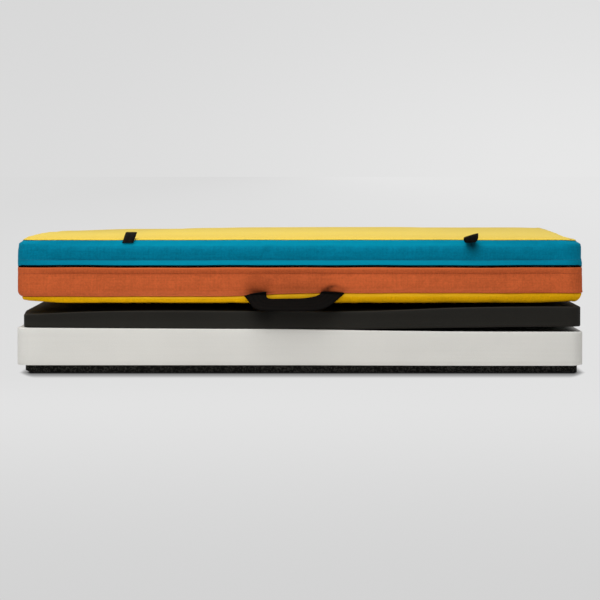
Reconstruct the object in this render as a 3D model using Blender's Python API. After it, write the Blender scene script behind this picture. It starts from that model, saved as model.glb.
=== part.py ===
"""A bouldering crash pad lying on the three bare foam layers of its core.

The pad is a zipped fabric cover round a foam core, and it folds in half across its length.
Metres, +Z up. The origin is on the floor under the middle of the stack, and -Y is the front.
"""

import math

import bmesh
import bpy
from mathutils import Vector

# The pad's plan.
PAD_WIDTH = 1.000
PAD_LENGTH = 1.200
PAD_CORNER_RADIUS = 0.030
EDGE_DRAW_IN = 0.003

# The bare foam layers under the pad, cut to its plan less a trim.
BASE_SLAB_SIDE_TRIM = 0.011
BASE_SLAB_END_TRIM = 0.010
BASE_SLAB_THICKNESS = 0.0135
BASE_SLAB_EDGE = 0.0045
OPEN_SLAB_THICKNESS = 0.064
OPEN_SLAB_EDGE = 0.004
OPEN_SLAB_SLUMP = 0.003
CLOSED_SLAB_TRIM = 0.007
CLOSED_SLAB_THICKNESS = 0.035
CLOSED_SLAB_EDGE = 0.006
CLOSED_SLAB_END_LIFT = 0.0035
CLOSED_SLAB_END_GAP = 0.0065
SLAB_CORNER_RADIUS = 0.022

# The cover, from the bottom panel up to the top panel.
FABRIC = 0.0012
CLEARANCE = 0.0003
BOTTOM_CROWN = 0.0100
BOTTOM_SLOPE_REACH = 0.270
BOTTOM_WRAP = 0.0142
BOTTOM_WRAP_REACH = 0.026
BOTTOM_SEAM_INSET = 0.004
LOWER_BAND_HEIGHT = 0.0500
ZIP_GAP = 0.0024
UPPER_BAND_HEIGHT = 0.0464
TOP_SEAM_INSET = 0.0076
TOP_CROWN = 0.008
TOP_CROWN_REACH = 0.280
HEM_HEIGHT = 0.0101
HEM_ROLL = 0.0004
HEM_TUCK = 0.0013

# The zip behind the two hems.
TAPE_WIDTH = 0.0125
TAPE_THICKNESS = 0.0006
COIL_INSET = 0.0010

# The layers of the core inside the cover.
CORE_BASE_THICKNESS = 0.0135
CORE_CLOSED_THICKNESS = 0.035

# The fold: a hinge line just above the middle of the top panel stands for the bend.
FOLD_GAP = 0.0006
FOLD_AXIS_RISE = 0.0007

# The webbing handles in the bottom seam.
HANDLE_CENTRE_X = -0.0075
HANDLE_OUTER_SPAN = 0.177
HANDLE_INNER_SPAN = 0.102
HANDLE_INNER_DROP = 0.013
HANDLE_WEBBING = 0.030
HANDLE_THICKNESS = 0.002
HANDLE_ROOT_THICKNESS = 0.0008
HANDLE_TILT = math.radians(38.0)

# The webbing loops in the top seam.
LOOP_OFFSET_X = 0.303
LOOP_WEBBING = 0.020
LOOP_THICKNESS = 0.0014
LOOP_EYE_RADIUS = 0.0031
LOOP_ROOT_RADIUS = 0.0018
LOOP_ROOT_OUT = 0.0032
LOOP_ROOT_DOWN = 0.0024
LOOP_REACH = 0.0111
LOOP_RISE = 0.0106

# The two zip sliders at the middle of the back, and their pulls.
SLIDER_OFFSET_X = 0.012
SLIDER_LENGTH = 0.012
SLIDER_HEIGHT = 0.0094
SLIDER_THICKNESS = 0.0022
SLIDER_BEVEL = 0.0006
NECK_LENGTH = 0.0050
STUD_RADIUS = 0.0012
STUD_HEAD_RADIUS = 0.0021
STUD_HEAD_THICKNESS = 0.0008
PULL_LENGTH = 0.020
PULL_TOP_RADIUS = 0.0033
PULL_TIP_RADIUS = 0.0026
PULL_THICKNESS = 0.0012

# Outlines, as shares of the sizes that they follow.
TOP_PANEL_SHARES = ((1.0, 1.0), (0.45, 0.95), (0.2, 0.84), (0.07, 0.58), (0.02, 0.3), (0.0, 0.0))
UPPER_BULGE_SHARES = ((0.25, 0.12), (0.64, 0.31), (0.85, 0.6), (1.0, 1.0))
LOWER_BULGE_SHARES = ((0.2, 0.1), (0.5, 0.0), (0.77, 0.25), (1.0, 1.0))
BOTTOM_WRAP_SHARES = ((0.0, 0.0), (0.06, 0.3), (0.22, 0.62), (0.5, 0.87), (1.0, 1.0))
SLAB_EDGE_SHARES = ((1.0, 0.0), (0.3, 0.3), (0.0, 1.0))
LOOP_BEND_SHARES = ((0.0, 0.0), (0.05, 0.4), (0.42, 0.78), (1.0, 1.0))
LOOP_SWELL_SHARES = (0.0, 0.0, 0.55, 1.0)

SIDE_STEPS = 3
CORNER_STEPS = 3
END_STEPS = 6
FLAT_STEPS = 3
RISE_STEPS = 4
LOOP_TIP_STEPS = 7
HANDLE_STEPS = 20
TWIST_STEPS = 4
ROUND_STEPS = 20
HANDLE_OUTER_POWERS = (5.0, 1.2)
HANDLE_INNER_POWERS = (12.0, 1.2)

# How far each loop is turned outwards from lying back on the top panel, at its left and right edge.
LOOP_TURNS = {
    "front_loop_left": (0.0, 0.0),
    "front_loop_right": (math.radians(112.0), math.radians(58.0)),
    "rear_loop_left": (math.radians(138.0), math.radians(138.0)),
    "rear_loop_right": (math.radians(138.0), math.radians(138.0)),
}

FRONT = -1
REAR = 1

# Heights of the stack and of the cover's seams.
BASE_TOP = BASE_SLAB_THICKNESS
OPEN_BOTTOM = BASE_TOP + CLEARANCE
OPEN_TOP = OPEN_BOTTOM + OPEN_SLAB_THICKNESS
CLOSED_BOTTOM = OPEN_TOP + CLEARANCE
CLOSED_TOP = CLOSED_BOTTOM + CLOSED_SLAB_THICKNESS
PAD_BOTTOM = CLOSED_TOP + CLEARANCE
BOTTOM_EDGE = PAD_BOTTOM + BOTTOM_CROWN
LOWER_SEAM = BOTTOM_EDGE + BOTTOM_WRAP
ZIP_LOW = LOWER_SEAM + LOWER_BAND_HEIGHT
ZIP_MIDDLE = ZIP_LOW + ZIP_GAP / 2
ZIP_HIGH = ZIP_LOW + ZIP_GAP
TOP_SEAM = ZIP_HIGH + UPPER_BAND_HEIGHT
PAD_TOP = TOP_SEAM + TOP_CROWN
FOLD_AXIS_Z = PAD_TOP + FOLD_AXIS_RISE
UPPER_BAND_TOP = TOP_SEAM - FABRIC - CLEARANCE
LOWER_BAND_BOTTOM = LOWER_SEAM + CLEARANCE
TAPE_INSET = HEM_TUCK + FABRIC + CLEARANCE
CORE_INSET = TAPE_INSET + TAPE_THICKNESS + CLEARANCE
BOTTOM_FLAT_INSET = BOTTOM_SEAM_INSET + BOTTOM_WRAP_REACH + BOTTOM_SLOPE_REACH
TOP_FLAT_INSET = TOP_SEAM_INSET + TOP_CROWN_REACH

# Colours as linear red, green and blue, with roughness.
MATERIALS = {
    "yellow_fabric": ((0.871, 0.546, 0.036), 0.75),
    "blue_fabric": ((0.003, 0.205, 0.336), 0.75),
    "orange_fabric": ((0.514, 0.107, 0.031), 0.8),
    "zip_tape": ((0.008, 0.008, 0.008), 0.8),
    "zip_metal": ((0.02, 0.02, 0.021), 0.4),
    "webbing": ((0.012, 0.011, 0.010), 0.85),
    "closed_cell_foam": ((0.021, 0.020, 0.018), 0.7),
    "open_cell_foam": ((0.66, 0.65, 0.61), 0.95),
    "rebonded_foam": ((0.013, 0.013, 0.012), 0.9),
}


def clear_scene():
    for obj in list(bpy.data.objects):
        bpy.data.objects.remove(obj, do_unlink=True)


def make_materials():
    made = {}
    for name, (colour, roughness) in MATERIALS.items():
        material = bpy.data.materials.new(name)
        material.use_nodes = True
        shader = material.node_tree.nodes["Principled BSDF"]
        shader.inputs["Base Color"].default_value = (*colour, 1.0)
        shader.inputs["Roughness"].default_value = roughness
        made[name] = material
    return made


def smooth_step(value):
    value = min(1.0, max(0.0, value))
    return value * value * (3 - 2 * value)


def mix(low, high, share):
    return low + (high - low) * share


def add_object(name, points, faces, material, parent=None):
    """A named object from points and faces, with its faces turned outwards."""
    mesh = bpy.data.meshes.new(name)
    mesh.from_pydata([tuple(p) for p in points], [], faces)
    tidy = bmesh.new()
    tidy.from_mesh(mesh)
    bmesh.ops.recalc_face_normals(tidy, faces=tidy.faces)
    tidy.to_mesh(mesh)
    tidy.free()
    mesh.materials.append(material)
    obj = bpy.data.objects.new(name, mesh)
    bpy.context.scene.collection.objects.link(obj)
    if parent:
        obj.parent = parent
    return obj


def add_pivot(name, place):
    """An empty on a joint's axis, which carries the moving piece."""
    pivot = bpy.data.objects.new(name, None)
    pivot.location = place
    bpy.context.scene.collection.objects.link(pivot)
    return pivot


# A half pad: rings that run from the fold round the free edge and back to the fold.
def draw_in(tuck):
    """How far the middle of an edge is pulled in, where the skin is tucked in by that share."""
    return EDGE_DRAW_IN * tuck * tuck


def half_ring(half, inset, z, tuck):
    end_x = PAD_WIDTH / 2 - inset - PAD_CORNER_RADIUS
    side_y = PAD_LENGTH / 2 - inset - PAD_CORNER_RADIUS
    pull = draw_in(tuck)
    right = []
    for step in range(SIDE_STEPS):
        y = mix(FOLD_GAP / 2, side_y, step / SIDE_STEPS)
        right.append((end_x + PAD_CORNER_RADIUS - pull * (1 - (y / side_y) ** 2), y))
    for step in range(CORNER_STEPS + 1):
        turn = math.pi / 2 * step / CORNER_STEPS
        right.append(
            (end_x + PAD_CORNER_RADIUS * math.cos(turn), side_y + PAD_CORNER_RADIUS * math.sin(turn))
        )
    end = []
    for step in range(1, END_STEPS):
        x = mix(end_x, -end_x, step / END_STEPS)
        end.append((x, side_y + PAD_CORNER_RADIUS - pull * (1 - (x / end_x) ** 2)))
    left = [(-x, y) for x, y in reversed(right)]
    return [Vector((x, half * y, z)) for x, y in right + end + left]


def add_half_solid(name, half, rings, material):
    """A solid through rings that go from the middle of its top, out and down, to the middle of its bottom."""
    loops = [half_ring(half, *ring) for ring in rings]
    count = len(loops[0])
    points = [p for loop in loops for p in loop]
    faces = [
        (a * count + i, a * count + i + 1, (a + 1) * count + i + 1, (a + 1) * count + i)
        for a in range(len(loops) - 1)
        for i in range(count - 1)
    ]
    last = (len(loops) - 1) * count
    faces.append(tuple(range(count)))
    faces.append(tuple(last + i for i in range(count)))
    starts = [a * count for a in range(len(loops))]
    ends = [a * count + count - 1 for a in range(len(loops))]
    faces.append(tuple(starts + ends[::-1]))
    return add_object(name, points, faces, material)


def add_half_panel(name, half, outer, inner, material):
    """A fabric panel: its outer rings from the middle to the rim, and its inner rings, which match them."""
    loops = [half_ring(half, *ring) for ring in outer + inner[::-1]]
    count = len(loops[0])
    points = [p for loop in loops for p in loop]
    faces = [
        (a * count + i, a * count + i + 1, (a + 1) * count + i + 1, (a + 1) * count + i)
        for a in range(len(loops) - 1)
        for i in range(count - 1)
    ]
    total = len(loops)
    last = (total - 1) * count
    faces.append(tuple(range(count)))
    faces.append(tuple(last + i for i in range(count)))
    for side in (0, count - 1):
        for a in range(len(outer) - 1):
            b = total - 1 - a
            corner = (a, a + 1, b - 1, b)
            faces.append(tuple(dict.fromkeys(k * count + side for k in corner)))
    faces.append((0, count - 1, last + count - 1, last))
    return add_object(name, points, faces, material)


def add_half_band(name, half, profile, material):
    """A strip swept round the half pad: profile is its closed cross-section."""
    loops = [half_ring(half, *ring) for ring in profile]
    count = len(loops[0])
    total = len(loops)
    points = [p for loop in loops for p in loop]
    faces = [
        (
            a * count + i,
            a * count + i + 1,
            (a + 1) % total * count + i + 1,
            (a + 1) % total * count + i,
        )
        for a in range(total)
        for i in range(count - 1)
    ]
    faces.append(tuple(a * count for a in range(total)))
    faces.append(tuple(a * count + count - 1 for a in range(total)))
    return add_object(name, points, faces, material)


# The cover's outline. Each ring is (inset from the plan's edge, height, tuck).
def top_panel_rings(drop):
    """The top panel's rings from the middle to its rim, lowered by drop."""
    return [
        (TOP_SEAM_INSET + reach * TOP_CROWN_REACH, TOP_SEAM + rise * TOP_CROWN - drop, 1 - reach)
        for reach, rise in TOP_PANEL_SHARES
    ]


def bottom_panel_rings(offset):
    """The bottom panel's rings from its rim to the middle, moved inwards by offset."""
    rings = []
    for reach, fall in BOTTOM_WRAP_SHARES:
        turn = math.pi / 2 * fall
        inset = BOTTOM_SEAM_INSET + reach * BOTTOM_WRAP_REACH + offset * math.cos(turn)
        z = LOWER_SEAM - fall * BOTTOM_WRAP + offset * math.sin(turn)
        rings.append((inset, z, 1.0))
    rings.append((BOTTOM_FLAT_INSET, PAD_BOTTOM + offset, 0.0))
    return rings


def upper_band_rings():
    stitch = ZIP_HIGH + HEM_HEIGHT
    rings = [(HEM_ROLL, ZIP_HIGH, 0.0), (0.0, ZIP_HIGH + HEM_ROLL, 0.0), (HEM_TUCK, stitch, 0.0)]
    for rise, tuck in UPPER_BULGE_SHARES:
        rings.append((tuck * TOP_SEAM_INSET, mix(stitch, UPPER_BAND_TOP, rise), tuck))
    return rings


def lower_band_rings():
    stitch = ZIP_LOW - HEM_HEIGHT
    rings = [(HEM_ROLL, ZIP_LOW, 0.0), (0.0, ZIP_LOW - HEM_ROLL, 0.0), (HEM_TUCK, stitch, 0.0)]
    for fall, tuck in LOWER_BULGE_SHARES:
        rings.append((tuck * BOTTOM_SEAM_INSET, mix(stitch, LOWER_BAND_BOTTOM, fall), tuck))
    return rings


def inner_side(rings):
    return [(inset + FABRIC, z, tuck) for inset, z, tuck in rings]


def wall_levels():
    """The core's side from bottom to top: (height, inset, tuck), inside the bands and the zip tapes."""
    levels = []
    for inset, z, tuck in lower_band_rings()[::-1] + upper_band_rings():
        levels.append((z, max(CORE_INSET, inset + FABRIC + CLEARANCE), tuck))
    return levels


def wall_ring(z):
    """The core's side ring at one height."""
    levels = wall_levels()
    for (z0, inset0, tuck0), (z1, inset1, tuck1) in zip(levels, levels[1:]):
        if z0 <= z <= z1:
            share = (z - z0) / (z1 - z0)
            return (mix(inset0, inset1, share), z, mix(tuck0, tuck1, share))
    below = z < levels[0][0]
    end = levels[0] if below else levels[-1]
    return (end[1], z, end[2])


def wall_between(low, high):
    """The core's side rings from high down to low, with the bends between them."""
    bends = [z for z, _, _ in wall_levels() if low < z < high]
    return [wall_ring(z) for z in [high, *bends[::-1], low]]


def add_cover_half(side, half, materials):
    """The cover's panels, bands and zip tapes for one half."""
    add_half_panel(
        f"{side}_top_panel", half, top_panel_rings(0.0), top_panel_rings(FABRIC), materials["yellow_fabric"]
    )
    upper = upper_band_rings()
    add_half_band(
        f"{side}_upper_boxing", half, upper + inner_side(upper)[::-1], materials["blue_fabric"]
    )
    lower = lower_band_rings()
    add_half_band(
        f"{side}_lower_boxing", half, lower + inner_side(lower)[::-1], materials["orange_fabric"]
    )
    add_half_panel(
        f"{side}_bottom_panel",
        half,
        bottom_panel_rings(0.0)[::-1],
        bottom_panel_rings(FABRIC)[::-1],
        materials["yellow_fabric"],
    )
    for edge, way in (("upper", 1), ("lower", -1)):
        near = ZIP_MIDDLE + way * CLEARANCE / 2
        far = ZIP_MIDDLE + way * (ZIP_GAP / 2 - CLEARANCE)
        rim = ZIP_MIDDLE + way * TAPE_WIDTH
        back = TAPE_INSET + TAPE_THICKNESS
        outline = ((COIL_INSET, near), (COIL_INSET, far), (TAPE_INSET, far), (TAPE_INSET, rim))
        profile = [(inset, z, 0.0) for inset, z in outline + ((back, rim), (back, near))]
        add_half_band(f"{side}_zip_{edge}_tape", half, profile, materials["zip_tape"])


def add_core_half(side, half, materials):
    """The three foam layers inside one half of the cover."""
    floor = bottom_panel_rings(FABRIC + CLEARANCE)
    middle_floor = PAD_BOTTOM + FABRIC + CLEARANCE
    base_rim = BOTTOM_EDGE + FABRIC + CORE_BASE_THICKNESS
    base_middle = middle_floor + CORE_BASE_THICKNESS
    add_half_solid(
        f"{side}_base_core",
        half,
        [(BOTTOM_FLAT_INSET, base_middle, 0.0), *wall_between(floor[0][1], base_rim), *floor[1:]],
        materials["rebonded_foam"],
    )
    ceiling = top_panel_rings(FABRIC + CLEARANCE)
    closed_rim = TOP_SEAM - CORE_CLOSED_THICKNESS
    closed_middle = PAD_TOP - FABRIC - CLEARANCE - CORE_CLOSED_THICKNESS
    add_half_solid(
        f"{side}_open_cell_core",
        half,
        [
            (TOP_FLAT_INSET, closed_middle - CLEARANCE, 0.0),
            *wall_between(base_rim + CLEARANCE, closed_rim - CLEARANCE),
            (BOTTOM_FLAT_INSET, base_middle + CLEARANCE, 0.0),
        ],
        materials["open_cell_foam"],
    )
    wall = wall_between(closed_rim, UPPER_BAND_TOP)
    add_half_solid(
        f"{side}_closed_cell_core",
        half,
        [ring for ring in ceiling if ring[0] > wall[0][0]] + wall + [(TOP_FLAT_INSET, closed_middle, 0.0)],
        materials["closed_cell_foam"],
    )


# The bare layers: their top and bottom may rise and fall from left to right.
def slab_run(end_x):
    """Places along a slab's front edge between its corners, with one at each end of the pad's flat."""
    start = PAD_WIDTH / 2 - BOTTOM_FLAT_INSET
    middle = [mix(-start, start, step / FLAT_STEPS) for step in range(FLAT_STEPS + 1)]
    outer = [mix(start, end_x, step / RISE_STEPS) for step in range(1, RISE_STEPS)]
    return [-x for x in reversed(outer)] + middle + outer


def slab_chain(half_width, half_length, inset):
    """Points from left to right along the front edge of a slab, at one inset: (x, distance from the middle)."""
    end_x = half_width - SLAB_CORNER_RADIUS
    end_y = half_length - SLAB_CORNER_RADIUS
    radius = SLAB_CORNER_RADIUS - inset
    right = []
    for step in range(CORNER_STEPS + 1):
        turn = math.pi / 2 * step / CORNER_STEPS
        right.append((end_x + radius * math.sin(turn), end_y + radius * math.cos(turn)))
    left = [(-x, y) for x, y in reversed(right)]
    run = [(x, end_y + radius) for x in slab_run(end_x)]
    return left + run + right


def add_slab(name, trims, edge, bottom, top, material):
    """A foam slab with softened edges. trims is how far its side and its end lie inside the pad's plan.

    bottom and top give its height at each x.
    """
    half_width = PAD_WIDTH / 2 - trims[0]
    half_length = PAD_LENGTH / 2 - trims[1]
    levels = [(share * edge, bottom, rise * edge) for share, rise in SLAB_EDGE_SHARES]
    levels += [(share * edge, top, -rise * edge) for share, rise in reversed(SLAB_EDGE_SHARES)]
    points = []
    for inset, surface, shift in levels:
        chain = slab_chain(half_width, half_length, inset)
        points += [Vector((x, -y, surface(x) + shift)) for x, y in chain]
        points += [Vector((x, y, surface(x) + shift)) for x, y in reversed(chain)]
    count = len(points) // len(levels)
    faces = [
        (
            a * count + i,
            a * count + (i + 1) % count,
            (a + 1) * count + (i + 1) % count,
            (a + 1) * count + i,
        )
        for a in range(len(levels) - 1)
        for i in range(count)
    ]
    for base in (0, (len(levels) - 1) * count):
        for i in range(count // 2 - 1):
            faces.append((base + i, base + i + 1, base + count - 2 - i, base + count - 1 - i))
    return add_object(name, points, faces, material)


def end_share(x):
    """0 under the flat of the pad, rising to 1 at the closed-cell layer's right end."""
    start = PAD_WIDTH / 2 - BOTTOM_FLAT_INSET
    return smooth_step((x - start) / (PAD_WIDTH / 2 - CLOSED_SLAB_TRIM - start))


def open_slab_top(x):
    return OPEN_TOP - OPEN_SLAB_SLUMP * x / (PAD_WIDTH / 2)


def closed_slab_bottom(x):
    return open_slab_top(x) + CLEARANCE + CLOSED_SLAB_END_GAP * end_share(x)


def closed_slab_top(x):
    return CLOSED_TOP + CLOSED_SLAB_END_LIFT * end_share(x)


def add_bare_layers(materials):
    add_slab(
        "base_slab",
        (BASE_SLAB_SIDE_TRIM, BASE_SLAB_END_TRIM),
        BASE_SLAB_EDGE,
        lambda x: 0.0,
        lambda x: BASE_TOP,
        materials["rebonded_foam"],
    )
    add_slab(
        "open_cell_slab",
        (0.0, 0.0),
        OPEN_SLAB_EDGE,
        lambda x: OPEN_BOTTOM,
        open_slab_top,
        materials["open_cell_foam"],
    )
    add_slab(
        "closed_cell_slab",
        (CLOSED_SLAB_TRIM, CLOSED_SLAB_TRIM),
        CLOSED_SLAB_EDGE,
        closed_slab_bottom,
        closed_slab_top,
        materials["closed_cell_foam"],
    )


# Webbing. A handle is a flat strap in a plane that slopes down, thinned where it is sewn in.
def seam_out(x, inset):
    """How far from the middle of the pad a seam's edge lies at one x along the front or back."""
    end_x = PAD_WIDTH / 2 - inset - PAD_CORNER_RADIUS
    return PAD_LENGTH / 2 - inset - EDGE_DRAW_IN * (1 - (x / end_x) ** 2)


def handle_edge(span, drop, powers, turn):
    """One edge of the handle at a turn from 0 to pi: (along the seam, away from the seam)."""
    along = -math.cos(turn)
    away = max(0.0, 1 - abs(along) ** powers[0]) ** (1 / powers[1])
    return along * span / 2, away * drop


def handle_axis(half):
    end = abs(HANDLE_CENTRE_X) + HANDLE_OUTER_SPAN / 2
    out = seam_out(end, BOTTOM_SEAM_INSET) + HANDLE_ROOT_THICKNESS / 2 + 2 * CLEARANCE
    return Vector((HANDLE_CENTRE_X, half * out, LOWER_SEAM))


def add_handle(name, half, material):
    pivot = add_pivot(name + "_axis", handle_axis(half))
    down = Vector((0.0, half * math.cos(HANDLE_TILT), -math.sin(HANDLE_TILT)))
    normal = Vector((0.0, half * math.sin(HANDLE_TILT), math.cos(HANDLE_TILT)))
    outer_drop = HANDLE_INNER_DROP + HANDLE_WEBBING
    points = []
    for step in range(HANDLE_STEPS + 1):
        turn = math.pi * step / HANDLE_STEPS
        sewn = step in (0, HANDLE_STEPS)
        face = normal * (HANDLE_ROOT_THICKNESS if sewn else HANDLE_THICKNESS) / 2
        for span, drop, powers, sides in (
            (HANDLE_OUTER_SPAN, outer_drop, HANDLE_OUTER_POWERS, (1, -1)),
            (HANDLE_INNER_SPAN, HANDLE_INNER_DROP, HANDLE_INNER_POWERS, (-1, 1)),
        ):
            along, away = handle_edge(span, drop, powers, turn)
            points += [Vector((along, 0.0, 0.0)) + down * away + face * side for side in sides]
    faces = [
        (4 * s + k, 4 * s + (k + 1) % 4, 4 * s + 4 + (k + 1) % 4, 4 * s + 4 + k)
        for s in range(HANDLE_STEPS)
        for k in range(4)
    ]
    faces += [(0, 1, 2, 3), tuple(4 * HANDLE_STEPS + k for k in range(4))]
    return add_object(name, points, faces, material, pivot)


def loop_line():
    """The loop's middle line from its sewn root to the centre of its eye's end: (outwards, up, half thickness)."""
    tip_radius = LOOP_EYE_RADIUS + LOOP_THICKNESS
    return [
        (-reach * LOOP_REACH, rise * LOOP_RISE, mix(LOOP_ROOT_RADIUS, tip_radius, swell))
        for (reach, rise), swell in zip(LOOP_BEND_SHARES, LOOP_SWELL_SHARES)
    ]


def loop_outline(thin):
    """The loop's outline in its own plane, thinned by thin, as points round it from the root's outer side."""
    line = loop_line()
    above, below = [], []
    for index, (out, up, half_thick) in enumerate(line):
        before, after = line[max(0, index - 1)], line[min(len(line) - 1, index + 1)]
        way = Vector((after[0] - before[0], after[1] - before[1])).normalized()
        across = Vector((way.y, -way.x))
        reach = max(half_thick - thin, LOOP_THICKNESS / 4)
        centre = Vector((out, up))
        if index == 0 and thin:
            centre += way * LOOP_ROOT_RADIUS
        above.append(centre + across * reach)
        below.append(centre - across * reach)
    tip_way = way
    tip_across = across
    tip_reach = line[-1][2] - thin
    tip = [
        centre + tip_across * tip_reach * math.cos(turn) + tip_way * tip_reach * math.sin(turn)
        for turn in (math.pi * k / LOOP_TIP_STEPS for k in range(1, LOOP_TIP_STEPS))
    ]
    return above + tip + below[::-1]


def loop_axis(half, x):
    out = seam_out(x, TOP_SEAM_INSET) + LOOP_ROOT_OUT
    return Vector((x, half * out, TOP_SEAM - LOOP_ROOT_DOWN))


def add_loop(name, half, x, material):
    """A webbing loop: its outline runs along X, and each slice is turned about the sewn root."""
    pivot = add_pivot(name + "_axis", loop_axis(half, x))
    left_turn, right_turn = LOOP_TURNS[name]
    outer, inner = loop_outline(0.0), loop_outline(LOOP_THICKNESS)
    count = len(outer)
    steps = TWIST_STEPS if left_turn != right_turn else 1
    points = []
    for step in range(steps + 1):
        share = step / steps
        turn = mix(left_turn, right_turn, share)
        along = mix(-LOOP_WEBBING / 2, LOOP_WEBBING / 2, share)
        for out, up in outer + inner:
            turned_out = out * math.cos(turn) + up * math.sin(turn)
            turned_up = up * math.cos(turn) - out * math.sin(turn)
            points.append(Vector((along, half * turned_out, turned_up)))
    size = 2 * count
    faces = []
    for step in range(steps):
        for first in (0, count):
            for k in range(count):
                a = step * size + first + k
                b = step * size + first + (k + 1) % count
                faces.append((a, b, b + size, a + size))
    for base in (0, steps * size):
        for k in range(count):
            after = (k + 1) % count
            faces.append((base + k, base + after, base + count + after, base + count + k))
    return add_object(name, points, faces, material, pivot)


# The zip sliders: a plate over the hems, a neck between them, and a headed stud that carries the pull.
def add_box(points, faces, low, high):
    base = len(points)
    for x in (low[0], high[0]):
        for y in (low[1], high[1]):
            for z in (low[2], high[2]):
                points.append(Vector((x, y, z)))
    for corner in ((0, 1, 3, 2), (4, 5, 7, 6), (0, 1, 5, 4), (2, 3, 7, 6), (0, 2, 6, 4), (1, 3, 7, 5)):
        faces.append(tuple(base + k for k in corner))


def join_with(obj, other):
    """Joins another closed shape to obj with a Boolean union."""
    union = obj.modifiers.new("join", "BOOLEAN")
    union.operation = "UNION"
    union.object = other
    other.hide_render = True
    other.display_type = "WIRE"


def add_turned(name, outline, material, parent):
    """A shape turned about +Y: outline is (distance along Y, radius) from one end to the other."""
    points, faces = [], []
    for y, radius in outline:
        for k in range(ROUND_STEPS):
            turn = 2 * math.pi * k / ROUND_STEPS
            points.append(Vector((radius * math.cos(turn), y, radius * math.sin(turn))))
    for a in range(len(outline) - 1):
        for k in range(ROUND_STEPS):
            after = (k + 1) % ROUND_STEPS
            base = a * ROUND_STEPS
            faces.append((base + k, base + after, base + ROUND_STEPS + after, base + ROUND_STEPS + k))
    faces.append(tuple(range(ROUND_STEPS)))
    faces.append(tuple((len(outline) - 1) * ROUND_STEPS + k for k in range(ROUND_STEPS)))
    return add_object(name, points, faces, material, parent)


def add_slider(name, side, materials):
    plate_back = CLEARANCE
    plate_front = plate_back + SLIDER_THICKNESS
    pivot = add_pivot(name + "_axis", Vector((side * SLIDER_OFFSET_X, PAD_LENGTH / 2, ZIP_MIDDLE)))
    points, faces = [], []
    add_box(
        points,
        faces,
        (-SLIDER_LENGTH / 2, plate_back, -SLIDER_HEIGHT / 2),
        (SLIDER_LENGTH / 2, plate_front, SLIDER_HEIGHT / 2),
    )
    slider = add_object(name, points, faces, materials["zip_metal"], pivot)
    bevel = slider.modifiers.new("soft_edges", "BEVEL")
    bevel.width = SLIDER_BEVEL
    bevel.segments = 2
    neck_points, neck_faces = [], []
    neck_half = ZIP_GAP / 2 - 2 * CLEARANCE
    add_box(
        neck_points,
        neck_faces,
        (-NECK_LENGTH / 2, CLEARANCE - COIL_INSET, -neck_half),
        (NECK_LENGTH / 2, plate_back + SLIDER_THICKNESS / 2, neck_half),
    )
    join_with(slider, add_object(name + "_neck", neck_points, neck_faces, materials["zip_metal"], pivot))
    shaft_end = plate_front + PULL_THICKNESS + 2 * CLEARANCE
    head_end = shaft_end + STUD_HEAD_THICKNESS
    stud = (
        (plate_front - SLIDER_THICKNESS / 2, STUD_RADIUS),
        (shaft_end, STUD_RADIUS),
        (shaft_end, STUD_HEAD_RADIUS),
        (head_end, STUD_HEAD_RADIUS),
    )
    join_with(slider, add_turned(name + "_stud", stud, materials["zip_metal"], pivot))
    return slider


def add_pull(name, side, materials):
    """A flat pull that hangs from the slider's stud."""
    back = CLEARANCE + SLIDER_THICKNESS + CLEARANCE
    pivot = add_pivot(name + "_axis", Vector((side * SLIDER_OFFSET_X, PAD_LENGTH / 2, ZIP_MIDDLE)))
    lower = -(PULL_LENGTH - PULL_TIP_RADIUS)
    half_steps = ROUND_STEPS // 2
    outline = []
    for k in range(half_steps + 1):
        turn = math.pi * k / half_steps
        outline.append((PULL_TOP_RADIUS * math.cos(turn), PULL_TOP_RADIUS * math.sin(turn)))
    for k in range(half_steps + 1):
        turn = math.pi + math.pi * k / half_steps
        outline.append((PULL_TIP_RADIUS * math.cos(turn), lower + PULL_TIP_RADIUS * math.sin(turn)))
    count = len(outline)
    points = [Vector((x, y, z)) for y in (back, back + PULL_THICKNESS) for x, z in outline]
    faces = [tuple(range(count)), tuple(range(count, 2 * count))]
    faces += [(k, (k + 1) % count, count + (k + 1) % count, count + k) for k in range(count)]
    pull = add_object(name, points, faces, materials["zip_metal"], pivot)
    eye = STUD_RADIUS + CLEARANCE
    drill = ((back - PULL_THICKNESS, eye), (back + 2 * PULL_THICKNESS, eye))
    cutter = add_turned(name + "_eye", drill, materials["zip_metal"], pivot)
    cutter.hide_render = True
    cutter.display_type = "WIRE"
    cut = pull.modifiers.new("eye", "BOOLEAN")
    cut.operation = "DIFFERENCE"
    cut.object = cutter
    return pull


def shade(objects):
    for obj in objects:
        if obj.type == "MESH":
            obj.data.shade_smooth()
            obj.data.set_sharp_from_angle(angle=math.radians(40.0))


def build():
    clear_scene()
    materials = make_materials()
    add_bare_layers(materials)
    for side, half in (("front", FRONT), ("rear", REAR)):
        add_cover_half(side, half, materials)
        add_core_half(side, half, materials)
        add_handle(f"{side}_handle", half, materials["webbing"])
        add_loop(f"{side}_loop_left", half, -LOOP_OFFSET_X, materials["webbing"])
        add_loop(f"{side}_loop_right", half, LOOP_OFFSET_X, materials["webbing"])
    for name, side in (("left", -1), ("right", 1)):
        add_slider(f"zip_slider_{name}", side, materials)
        add_pull(f"zip_pull_{name}", side, materials)
    shade(bpy.data.objects)


build()
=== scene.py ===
import math

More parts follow.
